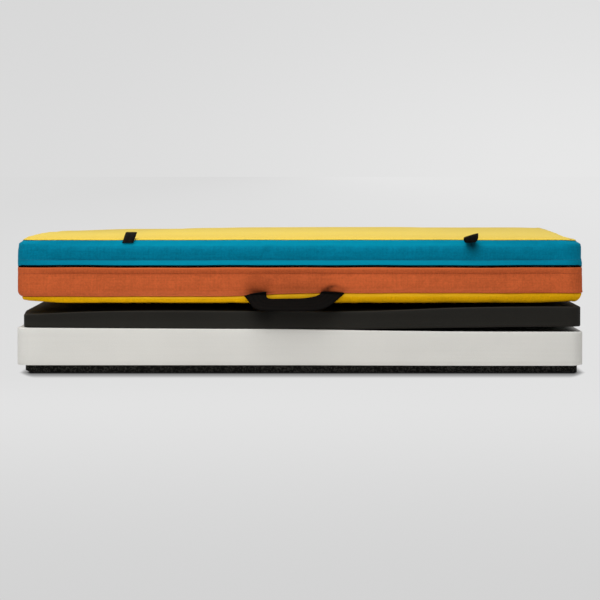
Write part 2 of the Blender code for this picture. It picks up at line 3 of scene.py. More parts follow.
import bpy
import numpy as np
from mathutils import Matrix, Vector


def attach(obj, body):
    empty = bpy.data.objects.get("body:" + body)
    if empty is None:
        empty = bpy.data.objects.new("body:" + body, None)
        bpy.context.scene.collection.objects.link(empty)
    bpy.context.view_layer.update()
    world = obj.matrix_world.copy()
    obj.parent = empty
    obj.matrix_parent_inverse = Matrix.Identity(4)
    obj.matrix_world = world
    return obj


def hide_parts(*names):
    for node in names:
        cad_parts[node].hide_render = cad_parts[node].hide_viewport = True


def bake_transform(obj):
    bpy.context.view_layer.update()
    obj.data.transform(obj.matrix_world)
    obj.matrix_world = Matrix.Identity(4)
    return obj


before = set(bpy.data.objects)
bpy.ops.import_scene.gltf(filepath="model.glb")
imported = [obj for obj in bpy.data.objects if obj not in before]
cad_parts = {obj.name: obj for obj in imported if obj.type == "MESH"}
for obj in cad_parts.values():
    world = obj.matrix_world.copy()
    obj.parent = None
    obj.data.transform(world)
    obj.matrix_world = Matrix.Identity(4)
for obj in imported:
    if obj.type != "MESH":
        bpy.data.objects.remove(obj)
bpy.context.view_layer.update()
scene = bpy.context.scene

# The viewpoint: a long lens 7.5 m in front of the stack, a little above its top and pitched down,
# so that the top panel shows as a thin band.
FOCAL_PIXELS = 4227.0
FRAME_PIXELS = 600.0
CAMERA_PLACE = (0.0, -8.1, 0.365)
CAMERA_TILT = math.radians(88.2)


def add(name, data):
    """Puts an object with the given data into the scene."""
    made = bpy.data.objects.new(name, data)
    scene.collection.objects.link(made)
    return made


camera = add("camera", bpy.data.cameras.new("camera"))
camera.data.sensor_width = 36.0
camera.data.lens = FOCAL_PIXELS / FRAME_PIXELS * camera.data.sensor_width
camera.data.clip_end = 600.0
camera.location = CAMERA_PLACE
camera.rotation_euler = (CAMERA_TILT, 0.0, 0.0)
scene.camera = camera
scene.view_settings.view_transform = "Standard"


# The studio: a seamless pale grey floor that runs into a backdrop of the same grey, one wide soft
# lamp above the stack, a little in front and on its left, and an even light from all round.
SKY_LOW = 0.36
SKY_HIGH = 0.62
BACKDROP_LOW = (0.71, 0.80)
BACKDROP_HIGH = (0.69, 0.745)
KEY_POWER = 58.0
KEY_SIZE = 2.2
KEY_PLACE = Vector((-0.50, -1.40, 2.45))
KEY_AIM = Vector((0.05, -0.55, 0.15))
FLOOR_HALF = 150.0
STACK_FRONT = 0.590
STACK_SIDE = 0.484
STACK_MIDDLE = 0.004


class Value:
    """A socket of a node tree. Sums and products add nodes, so that a pattern reads like its formula."""

    def __init__(self, tree, socket):
        self.tree = tree
        self.socket = socket

    def maths(self, operation, *others):
        inputs = dict(enumerate((self, *others)))
        return self.tree.node("ShaderNodeMath", {"operation": operation}, inputs)

    def __add__(self, other):
        return self.maths("ADD", other)

    def __mul__(self, other):
        return self.maths("MULTIPLY", other)

    def __sub__(self, other):
        return self.maths("SUBTRACT", other)

    def __rsub__(self, other):
        return self.tree.node("ShaderNodeMath", {"operation": "SUBTRACT"}, {0: other, 1: self})

    __radd__ = __add__
    __rmul__ = __mul__

    def sine(self):
        return self.maths("SINE")

    def size(self):
        return self.maths("ABSOLUTE")

    def most(self, other):
        return self.maths("MAXIMUM", other)

    def between(self, low, high):
        """0 where the value is low, 1 where it is high, with a soft rise."""
        settings = {"interpolation_type": "SMOOTHSTEP"}
        return self.tree.node("ShaderNodeMapRange", settings, {0: self, 1: low, 2: high})


class Tree:
    """A node tree being made."""

    def __init__(self, tree):
        self.tree = tree

    def node(self, kind, settings=None, inputs=None, output=0):
        made = self.tree.nodes.new(kind)
        for key, value in (settings or {}).items():
            setattr(made, key, value)
        for key, value in (inputs or {}).items():
            if isinstance(value, Value):
                self.tree.links.new(value.socket, made.inputs[key])
            else:
                made.inputs[key].default_value = value
        return Value(self, made.outputs[output])

    def mix(self, share, first, second):
        """A colour between two colours."""
        inputs = {0: share, 6: first, 7: second}
        return self.node("ShaderNodeMix", {"data_type": "RGBA"}, inputs, 2)


class Finish(Tree):
    """A material being made."""

    def __init__(self, name, **constants):
        self.material = bpy.data.materials.new(name)
        self.material.use_nodes = True
        super().__init__(self.material.node_tree)
        self.shader = self.tree.nodes["Principled BSDF"]
        for socket, value in constants.items():
            self.shader.inputs[socket.replace("_", " ")].default_value = value

    def place(self):
        return self.node("ShaderNodeTexCoord", output="Object")

    def flat(self):
        """The two flat coordinates along a piece's surface, in metres."""
        uv = self.node("ShaderNodeUVMap", {"uv_map": "flat"})
        parts = [self.node("ShaderNodeSeparateXYZ", None, {0: uv}, k) for k in (0, 1)]
        return uv, parts[0], parts[1]

    def mark(self, name):
        """A number that the mesh carries at each point, such as how worn it is."""
        return self.node("ShaderNodeAttribute", {"attribute_name": name}, None, "Fac")

    def stretched(self, vector, sizes):
        return self.node("ShaderNodeMapping", None, {"Vector": vector, "Scale": sizes})

    def noise(self, vector, scale, detail=2.0, roughness=0.5):
        inputs = {"Vector": vector, "Scale": scale, "Detail": detail, "Roughness": roughness}
        return self.node("ShaderNodeTexNoise", None, inputs, "Fac")

    def bump(self, height, distance, strength=1.0, below=None):
        inputs = {"Strength": strength, "Distance": distance, "Height": height}
        if below:
            inputs["Normal"] = below
        return self.node("ShaderNodeBump", None, inputs)

    def shades(self, share, dark, light, dimmer=1.0, brighter=1.0):
        """A colour between two colours, each made darker or lighter by a share."""
        return self.mix(share, shade_of(dark, dimmer), shade_of(light, brighter))

    def set(self, socket, value):
        self.tree.links.new(value.socket, self.shader.inputs[socket])


def shade_of(colour, share=1.0):
    """A colour for a socket, made darker or lighter by a share."""
    return (*(min(1.0, part * share) for part in colour), 1.0)


def ray_kinds(tree):
    """1 for the rays that see the backdrop itself, 0 for those that gather light."""
    kinds = ("Is Camera Ray", "Is Glossy Ray", "Is Transmission Ray")
    rays = [tree.node("ShaderNodeLightPath", None, None, kind) for kind in kinds]
    return rays[0].most(rays[1]).most(rays[2])


def grey(tone):
    return (tone, tone, tone, 1.0)


# The camera sees the floor in a tone of its own, dark where the stack shuts out the light beside it.
studio = Finish("studio_grey", Base_Color=grey(0.74), Roughness=1.0, Specular_IOR_Level=0.0)
across, away = (studio.node("ShaderNodeSeparateXYZ", None, {0: studio.place()}, k) for k in (0, 1))
before = (away.size() - STACK_FRONT).most(0.0)
beside = ((across - STACK_MIDDLE).size() + before * 0.12 - STACK_SIDE).most(0.0) * 10.0
gap = (beside * beside + before * before).maths("SQRT")
open_share = gap.between(0.004, 0.088) * 0.4 + gap.between(0.08, 0.22) * 0.6
far_grey = studio.mix(across.between(-3.0, 3.0), grey(0.705), grey(0.79))
near_grey = studio.mix(away.between(-4.9, -1.6), grey(0.650), grey(0.76))
plain_grey = studio.mix(away.between(-1.6, -0.6), near_grey, far_grey)
glow = studio.node("ShaderNodeEmission", None, {"Color": studio.mix(open_share, grey(0.0), plain_grey)})
lit = Value(studio, studio.shader.outputs[0])
blended = studio.node("ShaderNodeMixShader", None, {0: ray_kinds(studio), 1: lit, 2: glow})
studio.tree.links.new(blended.socket, studio.tree.nodes["Material Output"].inputs["Surface"])

mesh = bpy.data.meshes.new("studio_floor")
corners = [(-1, -1), (1, -1), (1, 1), (-1, 1)]
mesh.from_pydata([(x * FLOOR_HALF, y * FLOOR_HALF, 0.0) for x, y in corners], [], [(0, 1, 2, 3)])
mesh.materials.append(studio.material)
add("studio_floor", mesh)

world = bpy.data.worlds.new("studio_light")
scene.world = world
world.use_nodes = True
sky = Tree(world.node_tree)
way = sky.node("ShaderNodeTexCoord", output="Generated")
aside, rise = (sky.node("ShaderNodeSeparateXYZ", None, {0: way}, k) for k in (0, 2))
sideways = aside.between(-0.075, 0.075)
backdrop = [sky.mix(sideways, grey(left), grey(right)) for left, right in (BACKDROP_LOW, BACKDROP_HIGH)]
backdrop = sky.mix(rise.between(0.0, 0.045), *backdrop)
room = sky.mix(rise.between(0.0, 1.0), grey(SKY_LOW), grey(SKY_HIGH))
seen = sky.mix(ray_kinds(sky), room, backdrop)
world.node_tree.links.new(seen.socket, world.node_tree.nodes["Background"].inputs["Color"])

key = add("key_lamp", bpy.data.lights.new("key_lamp", "AREA"))
key.data.energy = KEY_POWER
key.data.size = KEY_SIZE
key.location = KEY_PLACE
key.rotation_euler = (KEY_AIM - KEY_PLACE).to_track_quat("-Z", "Y").to_euler()


# The bare base slab: a thin sheet of bonded black chips, cut with a knife, so that its edges are
# soft and its sides show the chips as specks.
PAD_HALF_WIDTH = 0.500
PAD_HALF_LENGTH = 0.600
SLAB_CORNER = 0.022
CLEARANCE = 0.0003
BASE_TOP = 0.0135
BASE_SLAB_TRIMS = (0.011, 0.010)
BASE_SHIFT = 0.0022
SIDE_SPREAD = 0.0026
GRID_CELL = 0.008


def smooth(value, low, high):
    """0 below low and 1 above high, with a soft rise between them."""
    share = np.clip((np.asarray(value, float) - low) / (high - low), 0.0, 1.0)
    return share * share * (3 - 2 * share)


def resample(values, old, new):
    """Rows of values known at old places, read off a smooth curve at new places."""
    slope = np.gradient(values, old, axis=0)
    k = np.clip(np.searchsorted(old, new) - 1, 0, len(old) - 2)
    shape = (-1,) + (1,) * (values.ndim - 1)
    span = (old[k + 1] - old[k]).reshape(shape)
    t = np.clip((new - old[k]).reshape(shape) / span, 0.0, 1.0)
    rise = values[k] * (1 + 2 * t) * (1 - t) ** 2 + values[k + 1] * t * t * (3 - 2 * t)
    return rise + slope[k] * span * t * (1 - t) ** 2 - slope[k + 1] * span * t * t * (1 - t)


def way_along(line):
    """The way from the first point of a line to each of its points."""
    return np.concatenate([[0.0], np.cumsum(np.linalg.norm(np.diff(line, axis=0), axis=1))])


def ripple(along, seed, lengths, amount):
    """A gentle wander along an edge, from a few waves with fixed random phases."""
    dice = np.random.default_rng(seed)
    waves = [np.sin(2 * math.pi * along / length + dice.uniform(0, 6.28)) for length in lengths]
    return amount * sum(waves) / len(waves)


class Plan:
    """The grid of a rounded rectangle: straight lines, bent round its corners."""

    def __init__(self, half_x, half_y, radius, cell, fine=()):
        self.half = (half_x, half_y)
        self.radius = radius
        corner = max(3, round(radius / cell * 1.2))
        bend = np.linspace(0, 1, corner + 1)[1:]
        self.straight, self.turned = [], []
        for half, extra in ((half_x, ()), (half_y, fine)):
            cells = round(2 * (half - radius) / cell)
            middle = np.linspace(-1, 1, cells + 1)
            if len(extra):
                share = np.asarray(extra) / (half - radius)
                outside = (middle < share[0] - 1e-4) | (middle > share[-1] + 1e-4)
                middle = np.sort(np.concatenate([middle[outside], share]))
            self.straight.append(np.concatenate([-np.ones(corner), middle, np.ones(corner)]))
            self.turned.append(np.concatenate([-bend[::-1], np.zeros(len(middle)), bend]))
        nx, ny = len(self.straight[0]), len(self.straight[1])
        ahead, side = np.arange(nx - 1), np.arange(ny - 1)
        self.rim_i = np.concatenate([ahead, np.full(ny - 1, nx - 1), nx - 1 - ahead, np.zeros(ny - 1, int)])
        self.rim_j = np.concatenate([np.zeros(nx - 1, int), side, np.full(nx - 1, ny - 1), ny - 1 - side])
        rim = np.stack(self.rim(0.0), axis=1)
        self.run = way_along(np.concatenate([rim, rim[:1]]))

    def place(self, inset, i, j):
        """Where grid lines i and j cross, on the plan made smaller by inset."""
        ax, tx = self.straight[0][i], self.turned[0][i]
        ay, ty = self.straight[1][j], self.turned[1][j]
        x = ax * (self.half[0] - inset - self.radius) + self.radius * tx * np.sqrt(1 - ty * ty / 2)
        y = ay * (self.half[1] - inset - self.radius) + self.radius * ty * np.sqrt(1 - tx * tx / 2)
        return x, y

    def rim(self, inset):
        return self.place(inset, self.rim_i, self.rim_j)

    def rings(self, profile):
        """Rings round the plan, one for each (inset, height) of the profile."""
        rows = []
        for inset, z in profile:
            x, y = self.rim(inset)
            rows.append(np.stack([x, y, np.broadcast_to(z, x.shape)], axis=1))
        return np.array(rows)

    def lid(self, inset, height):
        """The grid that closes a form, with height(x, y) for its surface."""
        i, j = np.indices((len(self.straight[0]), len(self.straight[1])))
        x, y = self.place(inset, i, j)
        return np.stack([x, y, height(x, y)], axis=2)


def shell(plan, rows, top=None, bottom=None):
    """Points, faces and flat coordinates of rings from top to bottom and of the lids that close them."""
    rings, count = rows.shape[:2]
    here = np.arange(count)
    after = (here + 1) % count
    drop = way_along(rows[:, 0])
    points, quads, flats = [rows.reshape(-1, 3)], [], []
    for k in range(rings - 1):
        a, b = k * count, (k + 1) * count
        quads.append(np.stack([a + here, b + here, b + after, a + after], axis=1))
        u = np.stack([plan.run[:-1], plan.run[:-1], plan.run[1:], plan.run[1:]], axis=1)
        v = np.broadcast_to(-np.array([drop[k], drop[k + 1], drop[k + 1], drop[k]]), u.shape)
        flats.append(np.stack([u, v], axis=2))
    total = rings * count
    for lid, ring, upwards in ((top, 0, True), (bottom, rings - 1, False)):
        if lid is None:
            continue
        inner = lid[1:-1, 1:-1]
        index = np.zeros(lid.shape[:2], int)
        index[1:-1, 1:-1] = total + np.arange(inner.shape[0] * inner.shape[1]).reshape(inner.shape[:2])
        index[plan.rim_i, plan.rim_j] = ring * count + here
        corner = [np.s_[:-1, :-1], np.s_[1:, :-1], np.s_[1:, 1:], np.s_[:-1, 1:]]
        if not upwards:
            corner = corner[::-1]
        quads.append(np.stack([index[c] for c in corner], axis=-1).reshape(-1, 4))
        flats.append(np.stack([lid[c][..., :2] for c in corner], axis=-2).reshape(-1, 4, 2))
        points.append(inner.reshape(-1, 3))
        total += inner.shape[0] * inner.shape[1]
    return np.concatenate(points), np.concatenate(quads).tolist(), np.concatenate(flats)


def make_piece(name, points, faces, flats, finish):
    """A smooth mesh with the flat coordinates of each face's corners."""
    mesh = bpy.data.meshes.new(name)
    mesh.from_pydata(points.tolist(), [], faces)
    mesh.uv_layers.new(name="flat").data.foreach_set("uv", np.asarray(flats, np.float32).ravel())
    mesh.materials.append(finish.material)
    mesh.shade_smooth()
    return add(name, mesh)


def carry_mark(piece, name, values):
    """Writes a number for each point onto the mesh, for its finish to read."""
    layer = piece.data.attributes.new(name, "FLOAT", "POINT")
    layer.data.foreach_set("value", values.astype(np.float32))


def soft_edge(edge, steps=4):
    """(inset, drop) from a slab's flat face round its softened edge to its side."""
    turns = np.linspace(0, math.pi / 2, steps + 1)
    return [(edge * (1 - math.sin(t)), edge * (1 - math.cos(t))) for t in turns]


def foam_slab(name, trims, shift, edges, bottom, top, seed, finish, edge_light=0.0):
    """A foam sheet with soft edges and slightly wandering cut sides, with a painted highlight along its top
    edge and painted light low on its sides.
    """
    half_x, half_y = PAD_HALF_WIDTH + SIDE_SPREAD - trims[0], PAD_HALF_LENGTH - trims[1]
    plan = Plan(half_x, half_y, SLAB_CORNER, GRID_CELL)
    x, y = plan.rim(0.0)
    wander = ripple(plan.run[:-1], seed, (0.83, 0.37, 0.19, 0.11), 0.0005)
    low, high = bottom(x, y), top(x, y)
    levels = [(inset, high - drop) for inset, drop in soft_edge(edges[0])]
    shares = np.linspace(0, 1, 8)[1:-1]
    levels += [(0.0, (high - edges[0]) * (1 - s) + (low + edges[1]) * s) for s in shares]
    levels += [(inset, low + drop) for inset, drop in soft_edge(edges[1])[::-1]]
    rows = []
    for inset, z in levels:
        ring = np.stack(plan.rim(inset), axis=1) * (1 - wander / half_y)[:, None]
        rows.append(np.column_stack([ring[:, 0] + shift, ring[:, 1], z]))
    lids = [plan.lid(edge, surface) for surface, edge in zip((top, bottom), edges)]
    for lid in lids:
        lid[..., 0] += shift
    slab = make_piece(name, *shell(plan, np.array(rows), *lids), finish)
    # one value for each ring: 5 round the top edge, 6 down the side, 5 round the bottom edge
    # painted highlight along the top edge, and painted light on the lower part of the sides, less towards
    # the right
    edge_highlight = np.array([0.1, 0.3, 0.8, 0.8, 0.1] + [0.0] * 11)[:, None]
    side_light = np.array([0.0] * 7 + [0.06, 0.14, 0.22, 0.30, 0.30, 0.15] + [0.0] * 3)[:, None]
    lit_share = np.zeros(len(slab.data.vertices))
    lit_share[: len(rows) * len(x)] = (edge_highlight + side_light * (1 - 0.7 * smooth(x, -0.15, 0.35))).ravel()
    carry_mark(slab, "painted_light", lit_share * edge_light)
    return slab


def lay(slab, layer):
    """A bare slab moves as its layer and stands for its solid."""
    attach(slab, f"{layer}_layer")
    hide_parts(f"{layer}_slab")


def foam_finish(name, colour, chip=0.0, pore=900.0, depth=0.0004, spread=0.18, **constants):
    """Foam: pores for grain, faint saw bands along its sides, and chips where it is bonded from scrap."""
    finish = Finish(name, **constants)
    place = finish.place()
    pores = finish.noise(place, pore, 2.0, 0.7)
    clouds = finish.noise(place, 7.0, 3.0)
    bands = finish.noise(finish.stretched(place, (2.0, 2.0, 160.0)), 1.0, 2.0)
    tone = (pores - 0.5) * 0.25 + (clouds - 0.5) * 0.35 + (bands - 0.5) * 0.12 + 0.5
    if chip:
        cells = finish.node("ShaderNodeTexVoronoi", None, {"Vector": place, "Scale": chip}, "Color")
        bits = finish.node("ShaderNodeSeparateColor", None, {0: cells}, 0)
        tone = tone + (bits.between(0.35, 1.0) - 0.45) * 0.8
    body = finish.shades(tone.between(0.0, 1.0), colour, colour, 1 - spread, 1 + spread)
    # painted light and highlight: a lighter colour where the mesh is marked
    body = finish.mix(finish.mark("painted_light"), body, shade_of(colour, 2.2))
    # painted shade and shadow: a much darker colour where the mesh is marked
    finish.set("Base Color", finish.mix(finish.mark("painted_shade"), body, shade_of(colour, 0.12)))
    finish.set("Roughness", clouds * 0.1 + (constants["Roughness"] - 0.05))
    finish.set("Normal", finish.bump(pores + bands * 0.8, depth, 0.6))
    return finish


bonded_foam = foam_finish(
    "bonded_black_chip_foam", (0.025, 0.024, 0.0215), chip=520.0, pore=900.0, depth=0.0006, spread=0.75,
    Roughness=0.9, Specular_IOR_Level=0.05,
)
base_slab = foam_slab(
    "base_foam_slab", BASE_SLAB_TRIMS, BASE_SHIFT, (0.0014, 0.0006),
    lambda x, y: 0.0036 * smooth(-x, 0.4800, 0.4915), lambda x, y: 0 * x + BASE_TOP, 3, bonded_foam,
)
lay(base_slab, "base")


# The bare open-cell slab: thick white foam that takes most of a fall. Its left side stands a little
# higher than its right, and its cut edges are soft.
OPEN_BOTTOM = BASE_TOP + CLEARANCE
OPEN_THICKNESS = 0.064
OPEN_TOP = OPEN_BOTTOM + OPEN_THICKNESS
OPEN_TOPS = np.array([
    (-0.51, 79.9), (-0.32, 78.7), (-0.25, 78.3), (-0.13, 77.7), (-0.03, 77.5), (0.05, 76.3), (0.13, 74.8),
    (0.27, 73.2), (0.51, 72.6),
])


def curve_at(x, table):
    """A height in metres, off a smooth curve through a table of (place in m, height in mm)."""
    return resample(table[:, 1], table[:, 0], x.ravel()).reshape(x.shape) / 1000


def open_slab_top(x, y):
    return curve_at(x, OPEN_TOPS)


def open_slab_bottom(x, y):
    """Flat on the base slab, with an edge that hangs over it by a hair, more so on the right."""
    rim = smooth(-y, PAD_HALF_LENGTH - 0.008, PAD_HALF_LENGTH - 0.001)
    return OPEN_BOTTOM - rim * (0.0004 + 0.0010 * smooth(x, -0.1, 0.4))


open_foam = foam_finish(
    "white_open_cell_foam", (0.715, 0.705, 0.665), pore=620.0, depth=0.0003, spread=0.13,
    Roughness=0.95, Specular_IOR_Level=0.03,
)
open_slab = foam_slab(
    "open_cell_foam_slab", (0.0, 0.0), 0.0, (0.0016, 0.0007),
    open_slab_bottom, open_slab_top, 7, open_foam,
)
lay(open_slab, "open_cell")


# The bare closed-cell slab: stiff black foam that spreads a fall. It curls up a little at its right
# end, so that a thin wedge of shadow opens over the white slab.
CLOSED_BOTTOM = OPEN_TOP + CLEARANCE
CLOSED_THICKNESS = 0.035
CLOSED_TOP = CLOSED_BOTTOM + CLOSED_THICKNESS
CLOSED_SLAB_TRIMS = (0.0067, 0.0035)
CLOSED_SHIFT = 0.0037
CLOSED_GAPS = np.array([
    (-0.51, 0.3), (0.0, 0.3), (0.06, 0.9), (0.18, 4.1), (0.27, 6.3), (0.38, 8.2), (0.51, 9.2),
])
CLOSED_LIFTS = np.array([
    (-0.51, -6.2), (-0.46, -3.4), (-0.42, -1.5), (-0.37, 0.0), (0.05, 0.0), (0.18, 0.3), (0.32, 3.2),
    (0.40, 4.2), (0.46, 4.4), (0.51, 3.6),
])


def closed_slab_bottom(x, y):
    return open_slab_top(x, y) + curve_at(x, CLOSED_GAPS)


def closed_slab_top(x, y):
    """The top of the slab: up at the right end, and pressed down a little along the front on the left."""
    pressed = smooth(-y, 0.50, 0.585) * smooth(-x, -0.28, -0.05)
    return CLOSED_TOP + curve_at(x, CLOSED_LIFTS) - 0.0046 * pressed


def hump(value, middle, width):
    """1 where the value is at the middle, falling to 0 on both sides."""
    return np.exp(-(((value - middle) / width) ** 2))


def paint_shade(piece, spots):
    """Paints shade onto the front of a piece in soft spots, each (x, z, half width, half height, amount)."""
    points = np.array([v.co for v in piece.data.vertices])
    x, y, z = points.T
    marks = sum(a * hump(x, u, w) * hump(z, v, h) for u, v, w, h, a in spots)
    carry_mark(piece, "painted_shade", np.clip(marks, 0, 0.95) * smooth(-y, 0.55, 0.585))


closed_foam = foam_finish(
    "black_closed_cell_foam", (0.0165, 0.0155, 0.0130), pore=520.0, depth=0.00015, spread=0.52,
    Roughness=0.7, Specular_IOR_Level=0.08,
)
closed_slab = foam_slab(
    "closed_cell_foam_slab", CLOSED_SLAB_TRIMS, CLOSED_SHIFT, (0.0016, 0.0022),
    closed_slab_bottom, closed_slab_top, 11, closed_foam, edge_light=0.8,
)
# painted shadow of the carry handle's ends on the front of the slab
paint_shade(closed_slab, [
    (-0.062, 0.104, 0.014, 0.014, 0.5), (0.062, 0.109, 0.018, 0.007, 0.45),
    (-0.045, 0.109, 0.012, 0.003, 0.4),
])
lay(closed_slab, "closed_cell")


# The cover's form: two panels and two boxing bands sewn round the core. A cloth simulation blows up
# a coarse copy that is held along its seams, and every fabric piece below takes its swell from it.
PAD_CORNER = 0.030
EDGE_DRAW_IN = 0.003
PAD_BOTTOM = CLOSED_TOP + CLEARANCE
BOTTOM_EDGE = PAD_BOTTOM + 0.0100
LOWER_SEAM = BOTTOM_EDGE + 0.0142
ZIP_LOW = LOWER_SEAM + 0.0500
ZIP_MIDDLE = ZIP_LOW + 0.0012
ZIP_HIGH = ZIP_LOW + 0.0024
TOP_SEAM = ZIP_HIGH + 0.0464
TOP_CROWN = 0.008
LOWER_STITCH = ZIP_LOW - 0.0101
UPPER_STITCH = ZIP_HIGH + 0.0101
TOP_INSET = 0.0076
BOTTOM_INSET = 0.004
WRAP_REACH = 0.026
BELLY_INSET = BOTTOM_INSET + WRAP_REACH
FOLD_START = -0.092
FOLD_END = 0.0
FOLD_ROWS = np.linspace(FOLD_START - 0.006, FOLD_END + 0.007, 29)
SWELL_CAP = 0.0018
SWELL_FRAMES = 20
CLOTH_THICKNESS = 0.0010
FINE_CELL = 0.0066
COARSE_CELL = 0.0125

# How full the top is and how far the bottom has fallen, as (distance from the edge, share).
CROWN = np.array([
    (0, 0), (0.004, 0.17), (0.0095, 0.36), (0.02, 0.58), (0.056, 0.84), (0.126, 0.95), (0.28, 1), (0.7, 1),
])
BELLY = np.array([(0, 0), (0.03, 0.05), (0.09, 0.30), (0.17, 0.68), (0.27, 1), (0.7, 1)])


def edge_distance(plan, x, y, inset, side_pull=None):
    """How far a point lies inside the plan's rounded edge. A side pull stretches the way from the sides."""
    dx, dy = plan.half[0] - inset - np.abs(x), plan.half[1] - inset - np.abs(y)
    out = np.hypot(np.maximum(plan.radius - dx, 0), np.maximum(plan.radius - dy, 0))
    cornered = (dx < plan.radius) & (dy < plan.radius)
    real = np.maximum(0.0, np.where(cornered, plan.radius - out, np.minimum(dx, dy)))
    if side_pull is None:
        return real
    return np.maximum(0.0, np.minimum(np.minimum(dx * side_pull, dy), real * np.maximum(side_pull, 1.0)))


def relax(surface, distance, turns=50):
    """Softens the mitre lines of a panel's surface away from its rim."""
    hold = smooth(distance, 0.012, 0.09)[1:-1, 1:-1]
    for _ in range(turns):
        near = (surface[:-2, 1:-1] + surface[2:, 1:-1] + surface[1:-1, :-2] + surface[1:-1, 2:]) / 4
        surface[1:-1, 1:-1] += hold * (near - surface[1:-1, 1:-1])
    return surface


def top_lid(plan, inset, z):
    """The top panel: full at once along its left edge, slower on the right front, lower at the back left."""
    lid = plan.lid(inset, lambda x, y: 0 * x)
    x, y = lid[..., 0], lid[..., 1]
    left = np.interp(y, (-0.6, -0.3, -0.1, 0.1, 0.24), (9.0, 13.0, 9.0, 2.6, 1.3))
    places = (-0.6, -0.44, -0.3, -0.19, -0.1, 0.0, 0.15, 0.3)
    right = np.interp(y, places, (0.4, 0.5, 0.8, 1.5, 4.0, 6.0, 11.0, 18.0))
    pull = left + (right - left) * smooth(x, -0.2, 0.2)
    share = np.interp(edge_distance(plan, x, y, inset, pull), *CROWN.T)
    real = edge_distance(plan, x, y, inset)
    sag = 0.0036 * smooth(-x, 0.02, 0.46) * smooth(y, -0.45, 0.40)
    sag = sag - 0.0010 * smooth(x, 0.0, 0.2) * smooth(y, 0.0, 0.4)
    lid[..., 2] = z + (TOP_SEAM + TOP_CROWN - z) * relax(share, real) - sag * smooth(real, 0.0, 0.06)
    return lid


def bottom_lid(plan, inset, z):
    """The bottom panel: from the end of its wrap it falls slowly to the flat that lies on the slab."""
    lid = plan.lid(inset, lambda x, y: 0 * x)
    distance = edge_distance(plan, lid[..., 0], lid[..., 1], inset)
    share = relax(np.interp(distance, *BELLY.T), distance)
    lid[..., 2] = z - (z - PAD_BOTTOM - 0.0002) * share
    return lid


def coarse_form(plan):
    """The simulated cover: its points and faces, how firmly each point is held, and its rings' heights."""
    levels = (
        (TOP_INSET, TOP_SEAM), (0.0046, 0.2301), (0.0023, 0.2228), (0.0012, 0.2150), (0.0009, 0.2092),
        (0.0018, UPPER_STITCH), (0.0006, 0.1950), (0.0001, ZIP_HIGH), (0.0001, ZIP_LOW), (0.0006, 0.1825),
        (0.0018, LOWER_STITCH), (0.0006, 0.1690), (0.0001, 0.1600), (0.0004, 0.1510), (0.0016, 0.1435),
        (BOTTOM_INSET, LOWER_SEAM), (0.0047, 0.1317), (0.0088, 0.1275), (0.0170, 0.1246),
        (BELLY_INSET, BOTTOM_EDGE),
    )
    sewn = (TOP_SEAM, UPPER_STITCH, ZIP_HIGH, ZIP_LOW, LOWER_STITCH, LOWER_SEAM)
    rows = plan.rings(levels)
    top, bottom = top_lid(plan, TOP_INSET, TOP_SEAM), bottom_lid(plan, BELLY_INSET, BOTTOM_EDGE)
    points, faces, _ = shell(plan, rows, top, bottom)
    count = rows.shape[1]
    held = np.full(len(points), 0.06)
    held[: len(levels) * count] = 0.0
    for k, (_, z) in enumerate(levels):
        if z in sewn:
            held[k * count : (k + 1) * count] = 1.0
    last = (len(levels) - 1) * count
    held[last:][points[last:, 2] < ZIP_LOW] = 0.4
    return points, faces, held, np.array([z for _, z in levels])


def swell(points, faces, held):
    """How far each point moves when the fabric, cut a little loose, is blown up between its seams."""
    mesh = bpy.data.meshes.new("loose_cover")
    mesh.from_pydata(points.tolist(), [], faces)
    cover = add("loose_cover", mesh)
    group = cover.vertex_groups.new(name="held")
    for weight in np.unique(held):
        group.add(np.flatnonzero(held == weight).tolist(), float(weight), "REPLACE")
    cloth = cover.modifiers.new("cloth", "CLOTH")
    for setting, value in (
        ("quality", 5), ("mass", 0.25), ("tension_stiffness", 30.0), ("compression_stiffness", 30.0),
        ("shear_stiffness", 12.0), ("bending_stiffness", 2.0), ("use_pressure", True),
        ("uniform_pressure_force", 4.0), ("shrink_min", -0.006), ("vertex_group_mass", "held"),
    ):
        setattr(cloth.settings, setting, value)
    cloth.settings.effector_weights.gravity = 0.0
    cloth.collision_settings.use_collision = False
    cloth.point_cache.frame_start = 1
    cloth.point_cache.frame_end = SWELL_FRAMES
    for step in range(1, SWELL_FRAMES + 1):
        scene.frame_set(step)
    blown = cover.evaluated_get(bpy.context.evaluated_depsgraph_get())
    moved = np.array([v.co for v in blown.data.vertices], float) - points
    bpy.data.objects.remove(cover)
    scene.frame_set(1)
    # the foam fixes how high the top lies, so its mean rise is taken out again
    x, y, z = points.T
    free = (held < 1) & (z > ZIP_MIDDLE) & (np.abs(x) < 0.4) & (np.abs(y) < 0.5)
    moved[z > TOP_SEAM, 2] -= moved[free, 2].mean()
    reach = np.linalg.norm(moved, axis=1)[:, None] + 1e-9
    return moved * (SWELL_CAP * np.tanh(reach / SWELL_CAP) / reach)


fine = Plan(PAD_HALF_WIDTH + SIDE_SPREAD, PAD_HALF_LENGTH, PAD_CORNER, FINE_CELL, FOLD_ROWS)
coarse = Plan(PAD_HALF_WIDTH + SIDE_SPREAD, PAD_HALF_LENGTH, PAD_CORNER, COARSE_CELL)
form_points, form_faces, form_held, form_levels = coarse_form(coarse)
form_swell = np.zeros_like(form_points)
form_swell = swell(form_points, form_faces, form_held)

rim_count = len(coarse.rim_i)
wall_swell = form_swell[: len(form_levels) * rim_count].reshape(len(form_levels), rim_count, 3)
lid_swells = {}
lid_parts = np.split(form_swell[len(form_levels) * rim_count :], 2)
for which, part, ring in (("top", lid_parts[0], 0), ("bottom", lid_parts[1], -1)):
    grid = np.zeros((len(coarse.straight[0]), len(coarse.straight[1]), 3))
    grid[1:-1, 1:-1] = part.reshape(grid[1:-1, 1:-1].shape)
    grid[coarse.rim_i, coarse.rim_j] = wall_swell[ring]
    lid_swells[which] = grid


def grid_lines(plan, side):
    return plan.straight[side] * (plan.half[side] - plan.radius) + plan.turned[side] * plan.radius


